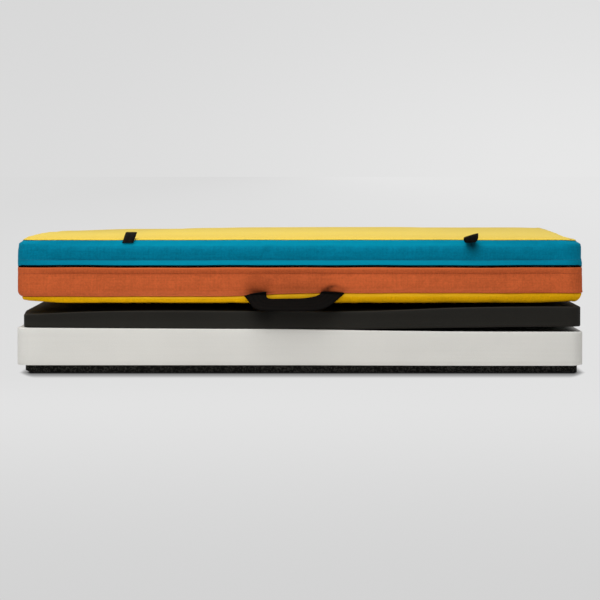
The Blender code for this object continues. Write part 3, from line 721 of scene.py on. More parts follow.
def lid_swell(which):
    """The simulated swell of a panel, read at the fine grid's crossings."""
    grid = resample(lid_swells[which], grid_lines(coarse, 0), grid_lines(fine, 0))
    grid = resample(grid.transpose(1, 0, 2), grid_lines(coarse, 1), grid_lines(fine, 1))
    return grid.transpose(1, 0, 2)


def wall_swell_at(heights):
    """The simulated swell of the sides, read at the fine grid's columns and at given heights."""
    around = np.concatenate([[coarse.run[-2] - coarse.run[-1]], coarse.run])
    wrapped = np.concatenate([wall_swell[:, -1:], wall_swell, wall_swell[:, :1]], axis=1)
    columns = resample(wrapped.transpose(1, 0, 2), around, fine.run[:-1]).transpose(1, 0, 2)
    order = np.argsort(form_levels)
    return resample(columns[order], form_levels[order], np.asarray(heights, float))


def lie(points):
    """Lets the cover lie as in the photograph: seams that wander, and corners that droop."""
    x, y, z = points[..., 0], points[..., 1], points[..., 2]
    moved = points.copy()
    sides = smooth(y, 0.45, 0.3)
    tilt = np.interp(z, [BOTTOM_EDGE, LOWER_SEAM, LOWER_STITCH], [0.0, 1.0, 0.0])
    moved[..., 2] += (0.0063 * smooth(x, -0.18, 0.045) - 0.0027) * tilt
    way_in = PAD_HALF_WIDTH + SIDE_SPREAD - np.abs(x)
    under = smooth(LOWER_SEAM - z, 0.001, 0.008)
    left_lift = 0.0030 * smooth(way_in, 0.006, 0.016) * smooth(-way_in, -0.085, -0.025) * (x < 0)
    right_lift = 0.0018 * smooth(way_in, 0.010, 0.022) * smooth(-way_in, -0.090, -0.030) * (x > 0)
    moved[..., 2] += (left_lift + right_lift) * under
    belly = hump(z, 0.1254, 0.0030) * smooth(-x, -0.02, 0.10) * smooth(-y, 0.55, 0.59)
    moved[..., 1] -= 0.0048 * belly
    along = x + 1.7 * y
    upper = smooth(z, ZIP_HIGH + 0.004, TOP_SEAM)
    droop = 0.0035 * smooth(-x, 0.33, 0.50) * smooth(y, 0.10, 0.56)
    corner = 0.0017 * smooth(x, 0.462, 0.497) * smooth(-y, 0.08, 0.40)
    moved[..., 2] -= (droop + corner + 0.0005 + 0.0006 * smooth(-x, 0.25, 0.5)) * upper
    moved[..., 2] += upper * ripple(along, 21, (0.61, 0.33, 0.17), 0.0004)
    zip_band = smooth(np.abs(z - ZIP_MIDDLE), 0.022, 0.006)
    moved[..., 2] += zip_band * sides * ripple(along, 22, (0.47, 0.29, 0.13), 0.0005)
    moved[..., 2] += tilt * ripple(along, 23, (0.53, 0.23, 0.12), 0.0005)
    return moved


def draw_in(points, amount):
    """Pulls the middle of each edge in, as sewn seams do between the corners."""
    x, y = points[..., 0], points[..., 1]
    moved = points.copy()
    near_side = np.clip(1 - (PAD_HALF_WIDTH - np.abs(x)) / 0.25, 0, 1) ** 2
    near_end = np.clip(1 - (PAD_HALF_LENGTH - np.abs(y)) / 0.25, 0, 1) ** 2
    span_x, span_y = PAD_HALF_WIDTH - PAD_CORNER, PAD_HALF_LENGTH - PAD_CORNER
    moved[..., 0] -= np.sign(x) * amount * near_side * np.clip(1 - (y / span_y) ** 2, 0, 1)
    moved[..., 1] -= np.sign(y) * amount * near_end * np.clip(1 - (x / span_x) ** 2, 0, 1)
    return moved


# How far the cover's left and right sides are shifted in, as (height, shift) in mm.
LEFT_SHIFTS = np.array([
    (123.4, 0.0), (124.3, 1.5), (125.4, 2.5), (129.1, 3.0), (134.0, 3.2), (138.0, 3.0), (139.0, 2.6),
    (141.8, 1.3), (145.5, 0.2), (150.0, 0.0), (205.0, 0.0), (211.0, 0.3), (215.0, 0.5), (218.0, 0.7),
    (221.6, 1.4), (225.0, 1.7), (228.7, 2.1), (232.3, 1.6), (236.0, 1.2),
])
RIGHT_SHIFTS = np.array([
    (123.4, 0.0), (125.4, -1.0), (129.1, -1.6), (134.0, -2.6), (137.6, -3.2), (138.6, -2.8), (139.6, -2.2),
    (141.4, -1.2), (144.0, -0.3), (148.0, 0.0), (195.0, 0.4), (205.0, 1.9), (225.0, 2.1), (228.7, 2.8),
    (232.0, 2.3), (235.0, 2.7), (236.0, 3.0),
])


def side_share():
    """1 along the sides of the cover, 0 along its front and back."""
    return smooth(np.abs(fine.rim(0.0)[0]), 0.43, 0.49)


def cover_rows(profile, tucks):
    """A band's rings on the fine grid, flatter on the sides, with the simulated swell between its seams."""
    x = fine.rim(0.0)[0]
    left, right = side_share() * (x < 0), side_share() * (x > 0)
    levelled = []
    for inset, z in profile:
        middle = smooth(z, 0.1420, 0.1480) * smooth(-z, -0.2350, -0.2290)
        shift = left * np.interp(z * 1000, *LEFT_SHIFTS.T) + right * np.interp(z * 1000, *RIGHT_SHIFTS.T)
        levelled.append((inset * (1 - side_share() * middle) + shift / 1000, z))
    rows = fine.rings(levelled)
    calm = np.array([0.75 if z > LOWER_SEAM else 0.3 for _, z in profile])
    rows += wall_swell_at([z for _, z in profile]) * calm[:, None, None]
    for k, tuck in enumerate(tucks):
        rows[k] = draw_in(rows[k], EDGE_DRAW_IN * tuck * tuck)
    return lie(rows)


def smooth_profile(knots, step):
    """More rings along a profile given by a few (inset, height) pairs in millimetres."""
    knots = np.array(knots, float) / 1000
    run = way_along(knots)
    places = [run[0]]
    for a, b in zip(run, run[1:]):
        places += list(np.linspace(a, b, max(1, round((b - a) / step)) + 1)[1:])
    return resample(knots, run, np.array(places))


def keep(piece, thickness=0.0):
    """Gives fabric its thickness towards the core, and makes the result a plain closed mesh."""
    if thickness:
        solid = piece.modifiers.new("thickness", "SOLIDIFY")
        solid.thickness = thickness
        solid.offset = -1.0
    evaluated = piece.evaluated_get(bpy.context.evaluated_depsgraph_get())
    made = bpy.data.meshes.new_from_object(evaluated)
    piece.modifiers.clear()
    piece.data = made


def cross_fold(piece, slot, *nodes, padded=None):
    """Bakes a piece's placement into its mesh, and hides the measured parts that it stands for."""
    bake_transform(piece)
    if nodes:
        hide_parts(*(f"{half}_{node}" for half in ("rear", "front") for node in nodes))


def cloth_finish(name, colour, weave=0.0012, lit_colour=None, spread=0.17, **constants):
    """Coated pack cloth: a plain weave with slubs and soft clouding, painted lighter where a mark paints
    light on it and darker where a mark paints shade.
    """
    finish = Finish(name, Roughness=0.8, Specular_IOR_Level=0.03, Sheen_Roughness=0.5, **constants)
    uv, u, v = finish.flat()
    place = finish.place()
    warp = (u * (2 * math.pi / weave)).sine()
    weft = (v * (2 * math.pi / weave)).sine()
    threads = warp * weft
    clouds = finish.noise(place, 4.5, 4.0)
    slubs = finish.noise(finish.stretched(uv, (14.0, 420.0, 1.0)), 1.0, 2.0)
    strands = finish.noise(finish.stretched(uv, (420.0, 18.0, 1.0)), 1.0, 2.0)
    flecks = finish.noise(place, 280.0, 2.0, 0.6)
    tone = threads * 0.10 + (clouds - 0.5) * 0.45 + (slubs + strands - 1.0) * 0.45
    tone = tone + (flecks - 0.5) * 0.9 + 0.5
    body = finish.shades(tone.between(0.0, 1.0), colour, colour, 1 - spread, 1 + spread)
    painted_light, painted_shade = finish.mark("painted_light"), finish.mark("painted_shade")
    # painted light: a paler colour where the mesh is marked
    body = finish.mix(painted_light * (slubs * 0.6 + 0.5), body, (*(lit_colour or shade_of(colour, 1.4)[:3]), 1.0))
    # painted shade: a much darker colour where the mesh is marked
    finish.set("Base Color", finish.mix(painted_shade, body, shade_of(colour, 0.12)))
    finish.set("Roughness", clouds * 0.14 + 0.70)
    creases = finish.noise(finish.stretched(place, (9.0, 9.0, 5.0)), 1.0, 5.0, 0.62)
    weave_bump = finish.bump(threads + slubs * 0.9, 0.00010, 0.6)
    finish.set("Normal", finish.bump(creases, 0.0035, 0.35, weave_bump))
    return finish


def painted_light_near(profile, heights, width):
    """How much painted light each point of a band's rings gets: most at the given heights, less towards the
    sides.
    """
    marks = sum(hump(profile[:, 1], height, width) for height in heights)
    calm = 1 - 0.7 * smooth(np.abs(fine.rim(0.0)[0]), 0.26, 0.44)
    return np.outer(np.clip(marks, 0, 1), calm).ravel()


def sew(name, rows, cloth, slot, node, painted_light, far_sheen=False, spots=(), **lids):
    """Makes a piece of the cover, with its painted light, its spots of painted shade and its thickness."""
    points, faces, flats = shell(fine, rows, **lids)
    piece = make_piece(name, points, faces, flats, cloth)
    marks = np.zeros(len(points))
    marks[: len(painted_light)] = painted_light
    # painted sheen: the cloth is painted paler towards the back
    if far_sheen:
        marks = np.minimum(marks + smooth(points[:, 1], -0.58, -0.36), 1.0)
    carry_mark(piece, "painted_light", marks)
    if spots:
        paint_shade(piece, spots)
    keep(piece, CLOTH_THICKNESS)
    cross_fold(piece, slot, node, padded=0.9)


# The top panel: yellow pack cloth over the stiff foam, sewn to the blue band right round. The seam draws its
# edge in and down, and a painted sheen makes the cloth a little paler away from its front.
# the same cloth as the bottom panel: its paler, less orange colour here is painted sheen
yellow_cloth = cloth_finish(
    "yellow_pack_cloth", (0.785, 0.546, 0.046), lit_colour=(0.825, 0.61, 0.068), spread=0.15,
    Sheen_Weight=0.30, Sheen_Tint=(1.0, 0.97, 0.8, 1.0),
)
top_profile = smooth_profile(
    [(10.6, 238.6), (9.0, 238.05), (7.9, 237.3), (7.35, 236.75), (7.7, 236.4), (12.0, 236.3)], 0.0007
)
lid = top_lid(fine, *top_profile[0]) + lid_swell("top")
sew(
    "top_panel_cloth", cover_rows(top_profile, np.ones(len(top_profile))), yellow_cloth,
    # painted highlight along the seam edge, and painted sheen towards the back
    "yellow_fabric", "top_panel", painted_light_near(top_profile, [0.2372], 0.0012),
    far_sheen=True, top=lie(draw_in(lid, EDGE_DRAW_IN)),
)


# The upper boxing band: blue pack cloth from the top seam down to the zip. Its lower edge is folded
# into a hem that stands out over the zip, held by a row of stitches.
RING_STEP = 0.0022


def ring_at(rows, profile, height):
    """The ring of a band that lies nearest to a height."""
    return rows[np.argmin(np.abs(profile[:, 1] - height))]


blue_cloth = cloth_finish(
    "blue_pack_cloth", (0.0, 0.180, 0.293), lit_colour=(0.0, 0.252, 0.378), spread=0.22,
    Sheen_Weight=0.05, Sheen_Tint=(0.0, 0.9, 1.0, 1.0),
)
upper_profile = smooth_profile([
    (12.0, 236.0), (7.9, 235.8), (7.2, 235.0), (6.5, 233.6), (5.4, 231.2), (3.9, 227.9), (2.4, 224.5),
    (1.2, 221.6), (0.7, 218.0), (0.9, 212.0), (1.4, 206.0), (2.1, 202.6), (3.2, 200.7), (3.3, 200.1),
    (2.3, 199.0), (1.3, 196.2), (0.1, 192.5), (-0.3, 191.5), (0.1, 191.0), (1.8, 191.0),
], RING_STEP)
rows = cover_rows(upper_profile, np.interp(upper_profile[:, 1], [0.205, TOP_SEAM], [0.0, 1.0]))
upper_stitch_line = ring_at(rows, upper_profile, 0.2004)
sew(
    "upper_boxing_cloth", rows, blue_cloth, "blue_fabric", "upper_boxing",
    # painted light on the band's upper part and on its hem, which face up
    painted_light_near(upper_profile, [0.1982, 0.1955, 0.1925, 0.2345, 0.2310, 0.2275], 0.0022),
    # painted shadow of the front right loop on the band below it
    spots=[
        (0.3045, 0.2295, 0.0100, 0.0055, 0.80), (0.3065, 0.2215, 0.0095, 0.0075, 0.60),
        (0.3090, 0.2115, 0.0120, 0.0075, 0.24),
    ],
)


# The lower boxing band: orange pack cloth from the zip's other hem down to the bottom seam. It is gathered a
# little where the carry handle pulls on the seam, with painted shade in its folds and between the handle's
# ends.
orange_cloth = cloth_finish(
    "orange_pack_cloth", (0.535, 0.108, 0.032), lit_colour=(0.75, 0.175, 0.060), spread=0.22,
)
lower_profile = smooth_profile([
    (1.8, 186.8), (0.2, 186.8), (-0.2, 186.3), (-0.1, 185.3), (0.4, 181.8), (1.2, 178.7), (2.9, 176.9),
    (3.2, 176.2), (2.9, 174.8), (2.5, 172.0), (1.9, 167.0), (1.2, 160.0), (0.6, 153.0), (0.2, 147.5),
    (0.2, 143.6), (0.7, 141.0), (1.6, 139.2), (2.8, 138.3), (4.3, 138.0), (8.5, 137.9),
], RING_STEP)


def gather(rows):
    """Folds of the cover over the carry handle's sewn ends, on the front."""
    x, y, z = rows[..., 0], rows[..., 1], rows[..., 2]
    front = smooth(-y, 0.55, 0.58)
    rise = z - LOWER_SEAM
    body = smooth(rise, 0.0, 0.004) * smooth(rise, 0.040, 0.026)
    folds = 0.0
    for centre, width, depth, lean in (
        (-0.078, 0.012, -0.0040, 0.10), (-0.100, 0.010, 0.0014, 0.25), (-0.058, 0.007, 0.0020, -0.05),
        (-0.040, 0.007, -0.0010, -0.1), (0.012, 0.009, 0.0007, 0.0), (0.036, 0.007, -0.0010, -0.15),
        (0.086, 0.009, 0.0008, 0.2), (-0.135, 0.016, -0.0006, 0.1), (0.13, 0.018, 0.0006, -0.1),
    ):
        folds = folds + depth * hump(x, centre + lean * rise, width)
    dome = 0.0046 * hump(x, 0.062, 0.0125) * hump(rise, 0.0125, 0.0055)
    tuck = -0.0014 * hump(x, 0.060, 0.012) * hump(rise, 0.0035, 0.004)
    rows[..., 1] -= front * (folds * body + dome + tuck)
    return rows


rows = gather(cover_rows(lower_profile, np.interp(lower_profile[:, 1], [LOWER_SEAM, 0.165], [1.0, 0.0])))
lower_stitch_line = ring_at(rows, lower_profile, 0.1765)
sew(
    "lower_boxing_cloth", rows, orange_cloth, "orange_fabric", "lower_boxing",
    # painted highlight along the hem's top edge, and painted light low on the band above the seam
    painted_light_near(lower_profile, [0.1862, 0.1390], 0.0012)
    + 0.35 * painted_light_near(lower_profile, [0.1415, 0.1440], 0.0025),
    # painted shade in the crease over the handle's left end, round the pucker over its right end and between
    # its ends
    spots=[
        (-0.080, 0.148, 0.021, 0.015, 0.38), (-0.072, 0.1425, 0.017, 0.0060, 0.50),
        (-0.060, 0.150, 0.006, 0.022, 0.16), (-0.010, 0.152, 0.075, 0.022, 0.18),
        (0.0500, 0.1480, 0.0130, 0.0080, 0.32), (0.0440, 0.1440, 0.0060, 0.0040, 0.45),
        (0.0480, 0.1490, 0.0055, 0.0040, 0.50), (0.0545, 0.1530, 0.0060, 0.0032, 0.55),
        (0.0620, 0.1545, 0.0065, 0.0030, 0.45), (0.0710, 0.1525, 0.0055, 0.0030, 0.34),
        (0.0770, 0.1475, 0.0050, 0.0035, 0.22), (0.0620, 0.1440, 0.0120, 0.0016, 0.40),
    ],
)


# The bottom panel: the same pack cloth as the top, in its deeper golden yellow without the top's painted
# sheen, wrapped up round the lower edge to the orange band and bellied down to the slab that the pad lies
# on.
golden_cloth = cloth_finish("golden_pack_cloth", (0.80, 0.415, 0.002), lit_colour=(0.98, 0.56, 0.022))
wrap_knots = [(8.5, 137.6), (4.5, 137.4), (3.9, 136.9), (3.9, 136.0)]
for reach, fall in (
    (0.01, 0.25), (0.04, 0.43), (0.10, 0.60), (0.19, 0.74), (0.33, 0.86), (0.54, 0.94), (0.76, 0.98),
    (1.0, 1.0),
):
    knot = (BOTTOM_INSET + reach * WRAP_REACH, LOWER_SEAM - fall * (LOWER_SEAM - BOTTOM_EDGE))
    wrap_knots.append((knot[0] * 1000, knot[1] * 1000))
bottom_profile = smooth_profile(wrap_knots, RING_STEP)
rows = cover_rows(bottom_profile, np.interp(bottom_profile[:, 1], [BOTTOM_EDGE, LOWER_SEAM], [0.6, 1.0]))
lid = bottom_lid(fine, *bottom_profile[-1])
lift = lid_swell("bottom")
lift[..., 2] = np.maximum(0.0, lift[..., 2])
sew(
    "bottom_panel_cloth", gather(rows), golden_cloth, "yellow_fabric", "bottom_panel",
    # painted highlight just under the seam, and painted shade over the right part of the wrap
    painted_light_near(bottom_profile, [0.1364, 0.1345], 0.0014), spots=[(0.36, 0.130, 0.24, 0.020, 0.08)],
    bottom=lie(draw_in(lid + lift, EDGE_DRAW_IN * 0.36)),
)


# The core inside the cover: the same three foams as the bare slabs, from the bottom a bonded base, the thick
# white layer and the stiff black one.
CORE_GAP = 0.0045
CORE_BELLY_GAP = 0.0035
CORE_BASE_THICKNESS = 0.0110
CORE_CLOSED_THICKNESS = 0.033


def core_layer(name, profile, top, bottom, finish, slot, node):
    """A layer of the core, from its rings and from the surfaces that close it."""
    rows = lie(coarse.rings(profile))
    lids = [lie(coarse.lid(profile[0][0], top)), lie(coarse.lid(profile[-1][0], bottom))]
    piece = make_piece(name, *shell(coarse, rows, *lids), finish)
    cross_fold(piece, slot, node, padded=1.0)


def under_crown(x, y):
    distance = edge_distance(coarse, x, y, TOP_INSET + CORE_GAP)
    sag = 0.0045 * smooth(-x, 0.02, 0.46) * smooth(y, -0.45, 0.40)
    return TOP_SEAM - CORE_GAP + (TOP_CROWN - 0.002) * np.interp(distance, *CROWN.T) - sag


def over_belly(x, y):
    distance = edge_distance(coarse, x, y, BELLY_INSET + CORE_GAP)
    return BOTTOM_EDGE + CORE_BELLY_GAP - 0.0080 * np.interp(distance, *BELLY.T)


def base_core_top(x, y):
    return over_belly(x, y) + CORE_BASE_THICKNESS


def closed_core_bottom(x, y):
    return under_crown(x, y) - CORE_CLOSED_THICKNESS


core_layer(
    "core_base_foam",
    [
        (0.0140, 0.1380), (0.0145, 0.1340), (0.0185, 0.1300), (0.0260, 0.1280),
        (BELLY_INSET + CORE_GAP, BOTTOM_EDGE + CORE_BELLY_GAP),
    ],
    base_core_top, over_belly, bonded_foam, "rebonded_foam", "base_core",
)
core_layer(
    "core_open_cell_foam", [(0.0070, 0.1975), (0.0060, 0.1700), (0.0140, 0.1390)],
    lambda x, y: closed_core_bottom(x, y) - 0.0005, lambda x, y: base_core_top(x, y) + 0.0005,
    open_foam, "open_cell_foam", "open_cell_core",
)
core_layer(
    "core_closed_cell_foam",
    [(TOP_INSET + CORE_GAP, TOP_SEAM - CORE_GAP), (0.0090, 0.2280), (0.0070, 0.2150), (0.0060, 0.1985)],
    under_crown, closed_core_bottom, closed_foam, "closed_cell_foam", "closed_cell_core",
)


# The zip between the two hems: a nylon coil on two black tapes that are sewn behind the hems. The
# coil's teeth and the hems' stitches are rows of small beads, laid along lines on the cover.
TAPE_INSET = 0.0046
TAPE_HEIGHT = 0.0120
TAPE_THICKNESS = 0.0006
COIL_INSET = 0.0034
COIL_PITCH = 0.0021
STITCH_PITCH = 0.0031


def bead_group():
    """A node group that lays beads along a line, each turned along it and a little uneven in size."""
    group = bpy.data.node_groups.new("beads_along_a_line", "GeometryNodeTree")
    given = {}
    tree = Tree(group)
    for name, kind in (
        ("Line", "Geometry"), ("Pitch", "Float"), ("Shift", "Float"), ("Size", "Vector"),
        ("Unevenness", "Float"), ("Finish", "Material"),
    ):
        group.interface.new_socket(name, in_out="INPUT", socket_type="NodeSocket" + kind)
        given[name] = tree.node("NodeGroupInput", output=len(given))
    group.interface.new_socket("Beads", in_out="OUTPUT", socket_type="NodeSocketGeometry")
    curve = tree.node("GeometryNodeMeshToCurve", None, {0: given["Line"]})
    inputs = {"Curve": curve, "Length": given["Pitch"]}
    places = tree.node("GeometryNodeResampleCurve", {"mode": "LENGTH"}, inputs)
    tangent = tree.node("GeometryNodeInputTangent")
    offset = tree.node("ShaderNodeVectorMath", {"operation": "SCALE"}, {0: tangent, "Scale": given["Shift"]})
    places = tree.node("GeometryNodeSetPosition", None, {"Geometry": places, "Offset": offset})
    ball = tree.node("GeometryNodeMeshUVSphere", None, {"Segments": 8, "Rings": 5, "Radius": 0.5})
    settings = {"axis": "X", "pivot_axis": "Z"}
    turn = tree.node("FunctionNodeAlignRotationToVector", settings, {"Vector": tangent})
    inputs = {2: 1.0 - given["Unevenness"], "Seed": 5}
    share = tree.node("FunctionNodeRandomValue", {"data_type": "FLOAT"}, inputs, 1)
    size = tree.node("ShaderNodeVectorMath", {"operation": "SCALE"}, {0: given["Size"], "Scale": share})
    inputs = {"Points": places, "Instance": ball, "Rotation": turn, "Scale": size}
    row = tree.node("GeometryNodeInstanceOnPoints", None, inputs)
    row = tree.node("GeometryNodeRealizeInstances", None, {0: row})
    row = tree.node("GeometryNodeSetShadeSmooth", None, {0: row})
    row = tree.node("GeometryNodeSetMaterial", None, {"Geometry": row, "Material": given["Finish"]})
    group.links.new(row.socket, group.nodes.new("NodeGroupOutput").inputs[0])
    return group


beads = bead_group()


def bead_row(name, line, finish, slot, **inputs):
    """A row of beads along a closed line of points."""
    mesh = bpy.data.meshes.new(name)
    count = len(line)
    mesh.from_pydata(line.tolist(), [(k, (k + 1) % count) for k in range(count)], [])
    piece = add(name, mesh)
    modifier = piece.modifiers.new("beads", "NODES")
    modifier.node_group = beads
    sockets = {item.name: item.identifier for item in beads.interface.items_tree}
    for key, value in (*inputs.items(), ("Finish", finish.material)):
        modifier[sockets[key]] = value
    keep(piece)
    cross_fold(piece, slot)


coil_nylon = Finish("black_nylon_coil", Roughness=0.42, Specular_IOR_Level=0.03)
shine = coil_nylon.noise(coil_nylon.place(), 60.0, 3.0)
coil_nylon.set("Base Color", coil_nylon.shades(shine, (0.0012, 0.0012, 0.0015), (0.0035, 0.0035, 0.004)))
coil_nylon.set("Roughness", shine * 0.2 + 0.34)
tape_cloth = cloth_finish("black_zip_tape", (0.0018, 0.0018, 0.0021), weave=0.0009)

for side, level in (("upper", 1), ("lower", -1)):
    edge = ZIP_MIDDLE + level * 0.0004
    inset = TAPE_INSET * (1 - 0.6 * side_share())
    steps = np.linspace(0, TAPE_HEIGHT, 7)[::-level]
    rows = lie(fine.rings([(inset, edge + level * step) for step in steps]))
    tape = make_piece(f"zip_tape_{side}", *shell(fine, rows), tape_cloth)
    keep(tape, TAPE_THICKNESS)
    cross_fold(tape, "zip_tape", f"zip_{side}_tape")
    line = lie(fine.rings([(COIL_INSET * (1 - 0.75 * side_share()), ZIP_MIDDLE + level * 0.00045)]))[0]
    bead_row(
        f"zip_teeth_{side}", line, coil_nylon, "zip_tape",
        Pitch=COIL_PITCH, Shift=(level > 0) * COIL_PITCH / 2, Size=(0.0013, 0.0016, 0.0012), Unevenness=0.06,
    )


# Thread: one row of stitches through each hem, in a thread a little darker than its cloth. They lie
# in the small groove that they pull into the band.
def thread_finish(name, colour):
    finish = Finish(name, Roughness=0.6, Specular_IOR_Level=0.3)
    twist = finish.noise(finish.place(), 1400.0, 1.0)
    finish.set("Base Color", finish.shades(twist, colour, colour, 0.8, 1.2))
    finish.set("Normal", finish.bump(twist, 0.0001, 0.4))
    return finish


for name, line, colour, slot in (
    ("hem_stitches_upper", upper_stitch_line, (0.004, 0.120, 0.200), "blue_fabric"),
    ("hem_stitches_lower", lower_stitch_line, (0.300, 0.050, 0.014), "orange_fabric"),
):
    bead_row(
        name, line, thread_finish(name + "_thread", colour), slot,
        Pitch=STITCH_PITCH, Shift=0.0, Size=(0.0024, 0.0008, 0.0008), Unevenness=0.15,
    )


# The carry handles: 30 mm black webbing, both ends sewn into the bottom seam at a slant, so that the
# strap stands out from the pad and droops. The second handle is on the back edge.
WEBBING_THICKNESS = 0.0018
HANDLE_PIVOT_X = -0.0075
HANDLE_PIVOT_Y = 0.594127
HANDLE_DROOP = math.radians(44)
HANDLE_SHARES = np.array([0.0, 0.07, 0.18, 0.31, 0.42, 0.58, 0.70, 0.82, 0.93, 1.0])
HANDLE_OUTER = np.array([
    (-92.5, -0.5), (-89.5, 5.5), (-84.0, 15.0), (-74.0, 32.0), (-56.0, 39.0), (28.0, 39.0), (50.5, 33.5),
    (67.0, 20.0), (80.0, 6.5), (87.0, -2.0),
]) / 1000
HANDLE_INNER = np.array([
    (-52.0, -4.0), (-52.0, 2.0), (-51.6, 7.0), (-47.0, 10.2), (-33.0, 11.2), (12.0, 11.0), (30.0, 8.6),
    (40.0, 5.4), (43.5, 1.6), (45.0, -2.5),
]) / 1000
HANDLE_BEND = (0.002, 0.017)


def webbing_strip(name, middle, thickness, finish):
    """A strip of webbing along the surface middle[along, across], with round edges."""
    run, width = middle.shape[:2]
    lengthways, sideways = np.gradient(middle, axis=0), np.gradient(middle, axis=1)
    normal = np.cross(lengthways, sideways)
    normal /= np.linalg.norm(normal, axis=2, keepdims=True)
    across = np.linspace(-1, 1, width)
    thick = thickness / 2 * np.sqrt(np.clip(1 - np.abs(across) ** 7, 0, 1))[None, :, None]
    ring = np.concatenate([middle + normal * thick, (middle - normal * thick)[:, -2:0:-1]], axis=1)
    count = ring.shape[1]
    u = way_along(middle[:, width // 2])
    half_width = np.linalg.norm(np.diff(middle, axis=1), axis=2).sum(axis=1).max() / 2
    v = np.concatenate([across, across[-2:0:-1]]) * half_width
    faces, flats = [], []

    def add_face(*corners):
        faces.append([i * count + j for i, j in corners])
        flats.extend((u[i], v[j]) for i, j in corners)

    for i in range(run - 1):
        for j in range(count):
            k = (j + 1) % count
            add_face((i, j), (i, k), (i + 1, k), (i + 1, j))
    for i, order in ((0, 1), (run - 1, -1)):
        for j in range(width - 1):
            # at the strip's two edges its layers meet, so that two corners are one there
            ends = list(dict.fromkeys((j, (count - j) % count, count - j - 1, j + 1)))
            add_face(*((i, k) for k in ends[::order]))
    piece = make_piece(name, ring.reshape(-1, 3), faces, flats, finish)
    return piece


def webbing_finish(name, share):
    """Black webbing: ribs along it, crossed by the weft, with a little dust on the ribs."""
    finish = Finish(name, Roughness=0.7, Specular_IOR_Level=0.05)
    uv, u, v = finish.flat()
    ribs = (v * (2 * math.pi / 0.0016)).sine()
    weft = (u * (2 * math.pi / 0.0013) + ribs * 1.2).sine()
    broad = (v * (2 * math.pi / 0.0098)).sine()
    dust = finish.noise(finish.place(), 55.0, 4.0)
    tone = ribs * 0.22 + weft * 0.12 + broad * 0.12 + (dust - 0.5) * 0.7 + 0.42
    dark, light = (0.0030, 0.0026, 0.0022), (0.0150, 0.0120, 0.0095)
    finish.set("Base Color", finish.shades(tone.between(0.0, 1.0), dark, light, share, share))
    finish.set("Roughness", dust * 0.2 + 0.62)
    finish.set("Normal", finish.bump(ribs + weft * 0.5, 0.00025, 0.7))
    return finish


handle_webbing = webbing_finish("black_handle_webbing", 0.45)
for half, end in (("front", -1), ("rear", 1)):
    share = np.linspace(0, 1, 73)
    across = np.linspace(0, 1, 15)[None, :]
    edges = (resample(edge, HANDLE_SHARES, share) for edge in (HANDLE_OUTER, HANDLE_INNER))
    outer, inner = (edge[:, None, :] for edge in edges)
    flat = outer * (1 - across[..., None]) + inner * across[..., None]
    along, reach = flat[..., 0], flat[..., 1]
    left = smooth(-share, -0.5, -0.35)[:, None]
    raised = (0.0034 * across) * left + (0.0025 + 0.0035 * across) * (1 - left)
    arch = raised * hump(np.maximum(reach, 0.004), 0.004, 0.010)
    bow = arch + 0.0016 * np.sin(math.pi * across) * np.sin(math.pi * share)[:, None]
    down = np.array([0.0, end * math.cos(HANDLE_DROOP), -math.sin(HANDLE_DROOP)])
    out = np.array([0.0, end * math.sin(HANDLE_DROOP), math.cos(HANDLE_DROOP)])
    pivot = np.array([HANDLE_PIVOT_X, end * HANDLE_PIVOT_Y, LOWER_SEAM])
    middle = pivot + np.maximum(reach, 0)[..., None] * down
    middle = middle + np.maximum(-reach, 0)[..., None] * np.array([0.0, end * 1.1, 1.0])
    middle = middle + bow[..., None] * out + along[..., None] * np.array([1.0, 0.0, 0.0])
    handle = webbing_strip(f"{half}_webbing_handle", middle[:, ::end], WEBBING_THICKNESS, handle_webbing)
    bend = (tuple(pivot + down * reach) for reach in HANDLE_BEND)
    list(bend)
    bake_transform(handle)
    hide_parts(f"{half}_handle")


# The four webbing loops in the top seam: 20 mm webbing folded double round a small eye. The front
# left one lies back on the top, the front right one stands twisted, the rear ones hang out.
LOOP_X = 0.303
LOOP_Y = 0.593888
LOOP_Z = 0.2340
LOOP_WIDTH = 0.020
LOOP_THICKNESS = 0.0012
TWISTED_DROP = 0.0013
LOOP_LINE = np.array([(0.0, 0.0), (0.05, 0.42), (0.42, 0.82), (1.0, 1.08)]) * (-0.0111, 0.0106)
LOOP_SWELL = (0.0, 0.0, 0.55, 1.0)
LOOP_TURNS = {
    ("front", "left"): (0, 0), ("front", "right"): (112, 88),
    ("rear", "left"): (138, 138), ("rear", "right"): (138, 138),
}
loop_webbing = webbing_finish("black_loop_webbing", 1.15)


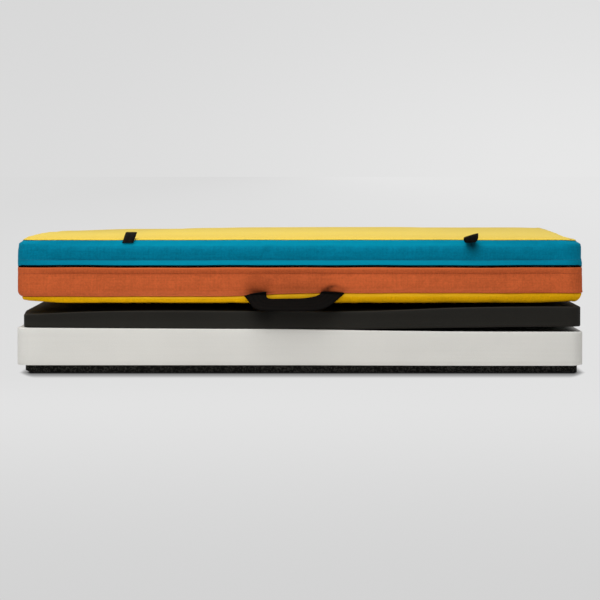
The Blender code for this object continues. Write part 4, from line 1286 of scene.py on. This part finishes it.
def loop_path(start):
    """The middle of the folded strip as (out, up), and how far its layers and its eye stand off that."""
    share = np.linspace(0, 1, 19)
    knots = np.linspace(0, 1, len(LOOP_LINE))
    line = resample(np.concatenate([[start], LOOP_LINE[1:]]), knots, share)
    half = 0.0011 + 0.0027 * resample(np.array(LOOP_SWELL)[:, None], knots, share)
    ahead = np.gradient(line, axis=0)
    ahead /= np.linalg.norm(ahead, axis=1)[:, None]
    side = np.stack([-ahead[:, 1], ahead[:, 0]], axis=1)
    turns = np.linspace(math.pi / 2, -math.pi / 2, 11)[1:-1, None]
    tip = half[-1] * (np.cos(turns) * ahead[-1] + np.sin(turns) * side[-1])
    middle = np.concatenate([line, np.repeat(line[-1:], len(tip), axis=0), line[::-1]])
    return middle, np.concatenate([side * half, tip, -(side * half)[::-1]])


for (half, side), (left_turn, right_turn) in LOOP_TURNS.items():
    end = -1 if half == "front" else 1
    lying, twisted = (half == "front" and side == name for name in ("left", "right"))
    line, offset = loop_path((0.0014, -0.0032) if lying else (0.0, 0.0))
    across = np.linspace(-1, 1, 11)
    pinch = 1 - 0.3 * twisted * (1 - across)
    turn = np.radians(left_turn + (right_turn - left_turn) * (across + 1) / 2)[None, :]
    out, up = (line[:, k : k + 1] + offset[:, k : k + 1] * pinch for k in (0, 1))
    turned_out = out * np.cos(turn) + up * np.sin(turn)
    turned_up = up * np.cos(turn) - out * np.sin(turn)
    lean = lying * (0.0036 * np.clip(up / 0.0106, -0.3, 1.4) - 0.0018)
    spread = 1 + twisted * (0.50 * np.clip(np.hypot(out, up) / 0.015, 0, 1) - 0.2)
    x = (LOOP_X if side == "right" else -LOOP_X) + across * spread * LOOP_WIDTH / 2 + lean
    y = end * (LOOP_Y + turned_out)
    middle = np.stack([x * np.ones_like(y), y, LOOP_Z - TWISTED_DROP * twisted + turned_up], axis=2)
    loop = webbing_strip(f"{half}_{side}_loop_strip", middle[:, ::-end], LOOP_THICKNESS, loop_webbing)
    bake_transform(loop)
    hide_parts(f"{half}_loop_{side}")


# The two sliders and their pulls, at the middle of the back edge: cast metal, painted black. Their
# shape is the measured one, and only the paint is added.
black_paint = Finish("black_painted_metal", Roughness=0.4, Coat_Weight=0.3, Specular_IOR_Level=0.5)
grain = black_paint.noise(black_paint.place(), 240.0, 4.0)
black_paint.set(
    "Base Color", black_paint.shades(grain.between(0.3, 0.8), (0.012, 0.012, 0.013), (0.03, 0.03, 0.031))
)
black_paint.set("Roughness", grain * 0.3 + 0.25)
black_paint.set("Normal", black_paint.bump(grain, 0.0001, 0.3))
for name in ("zip_slider_left", "zip_slider_right", "zip_pull_left", "zip_pull_right"):
    cast = bpy.data.objects[name]
    cast.data.materials.clear()
    cast.data.materials.append(black_paint.material)
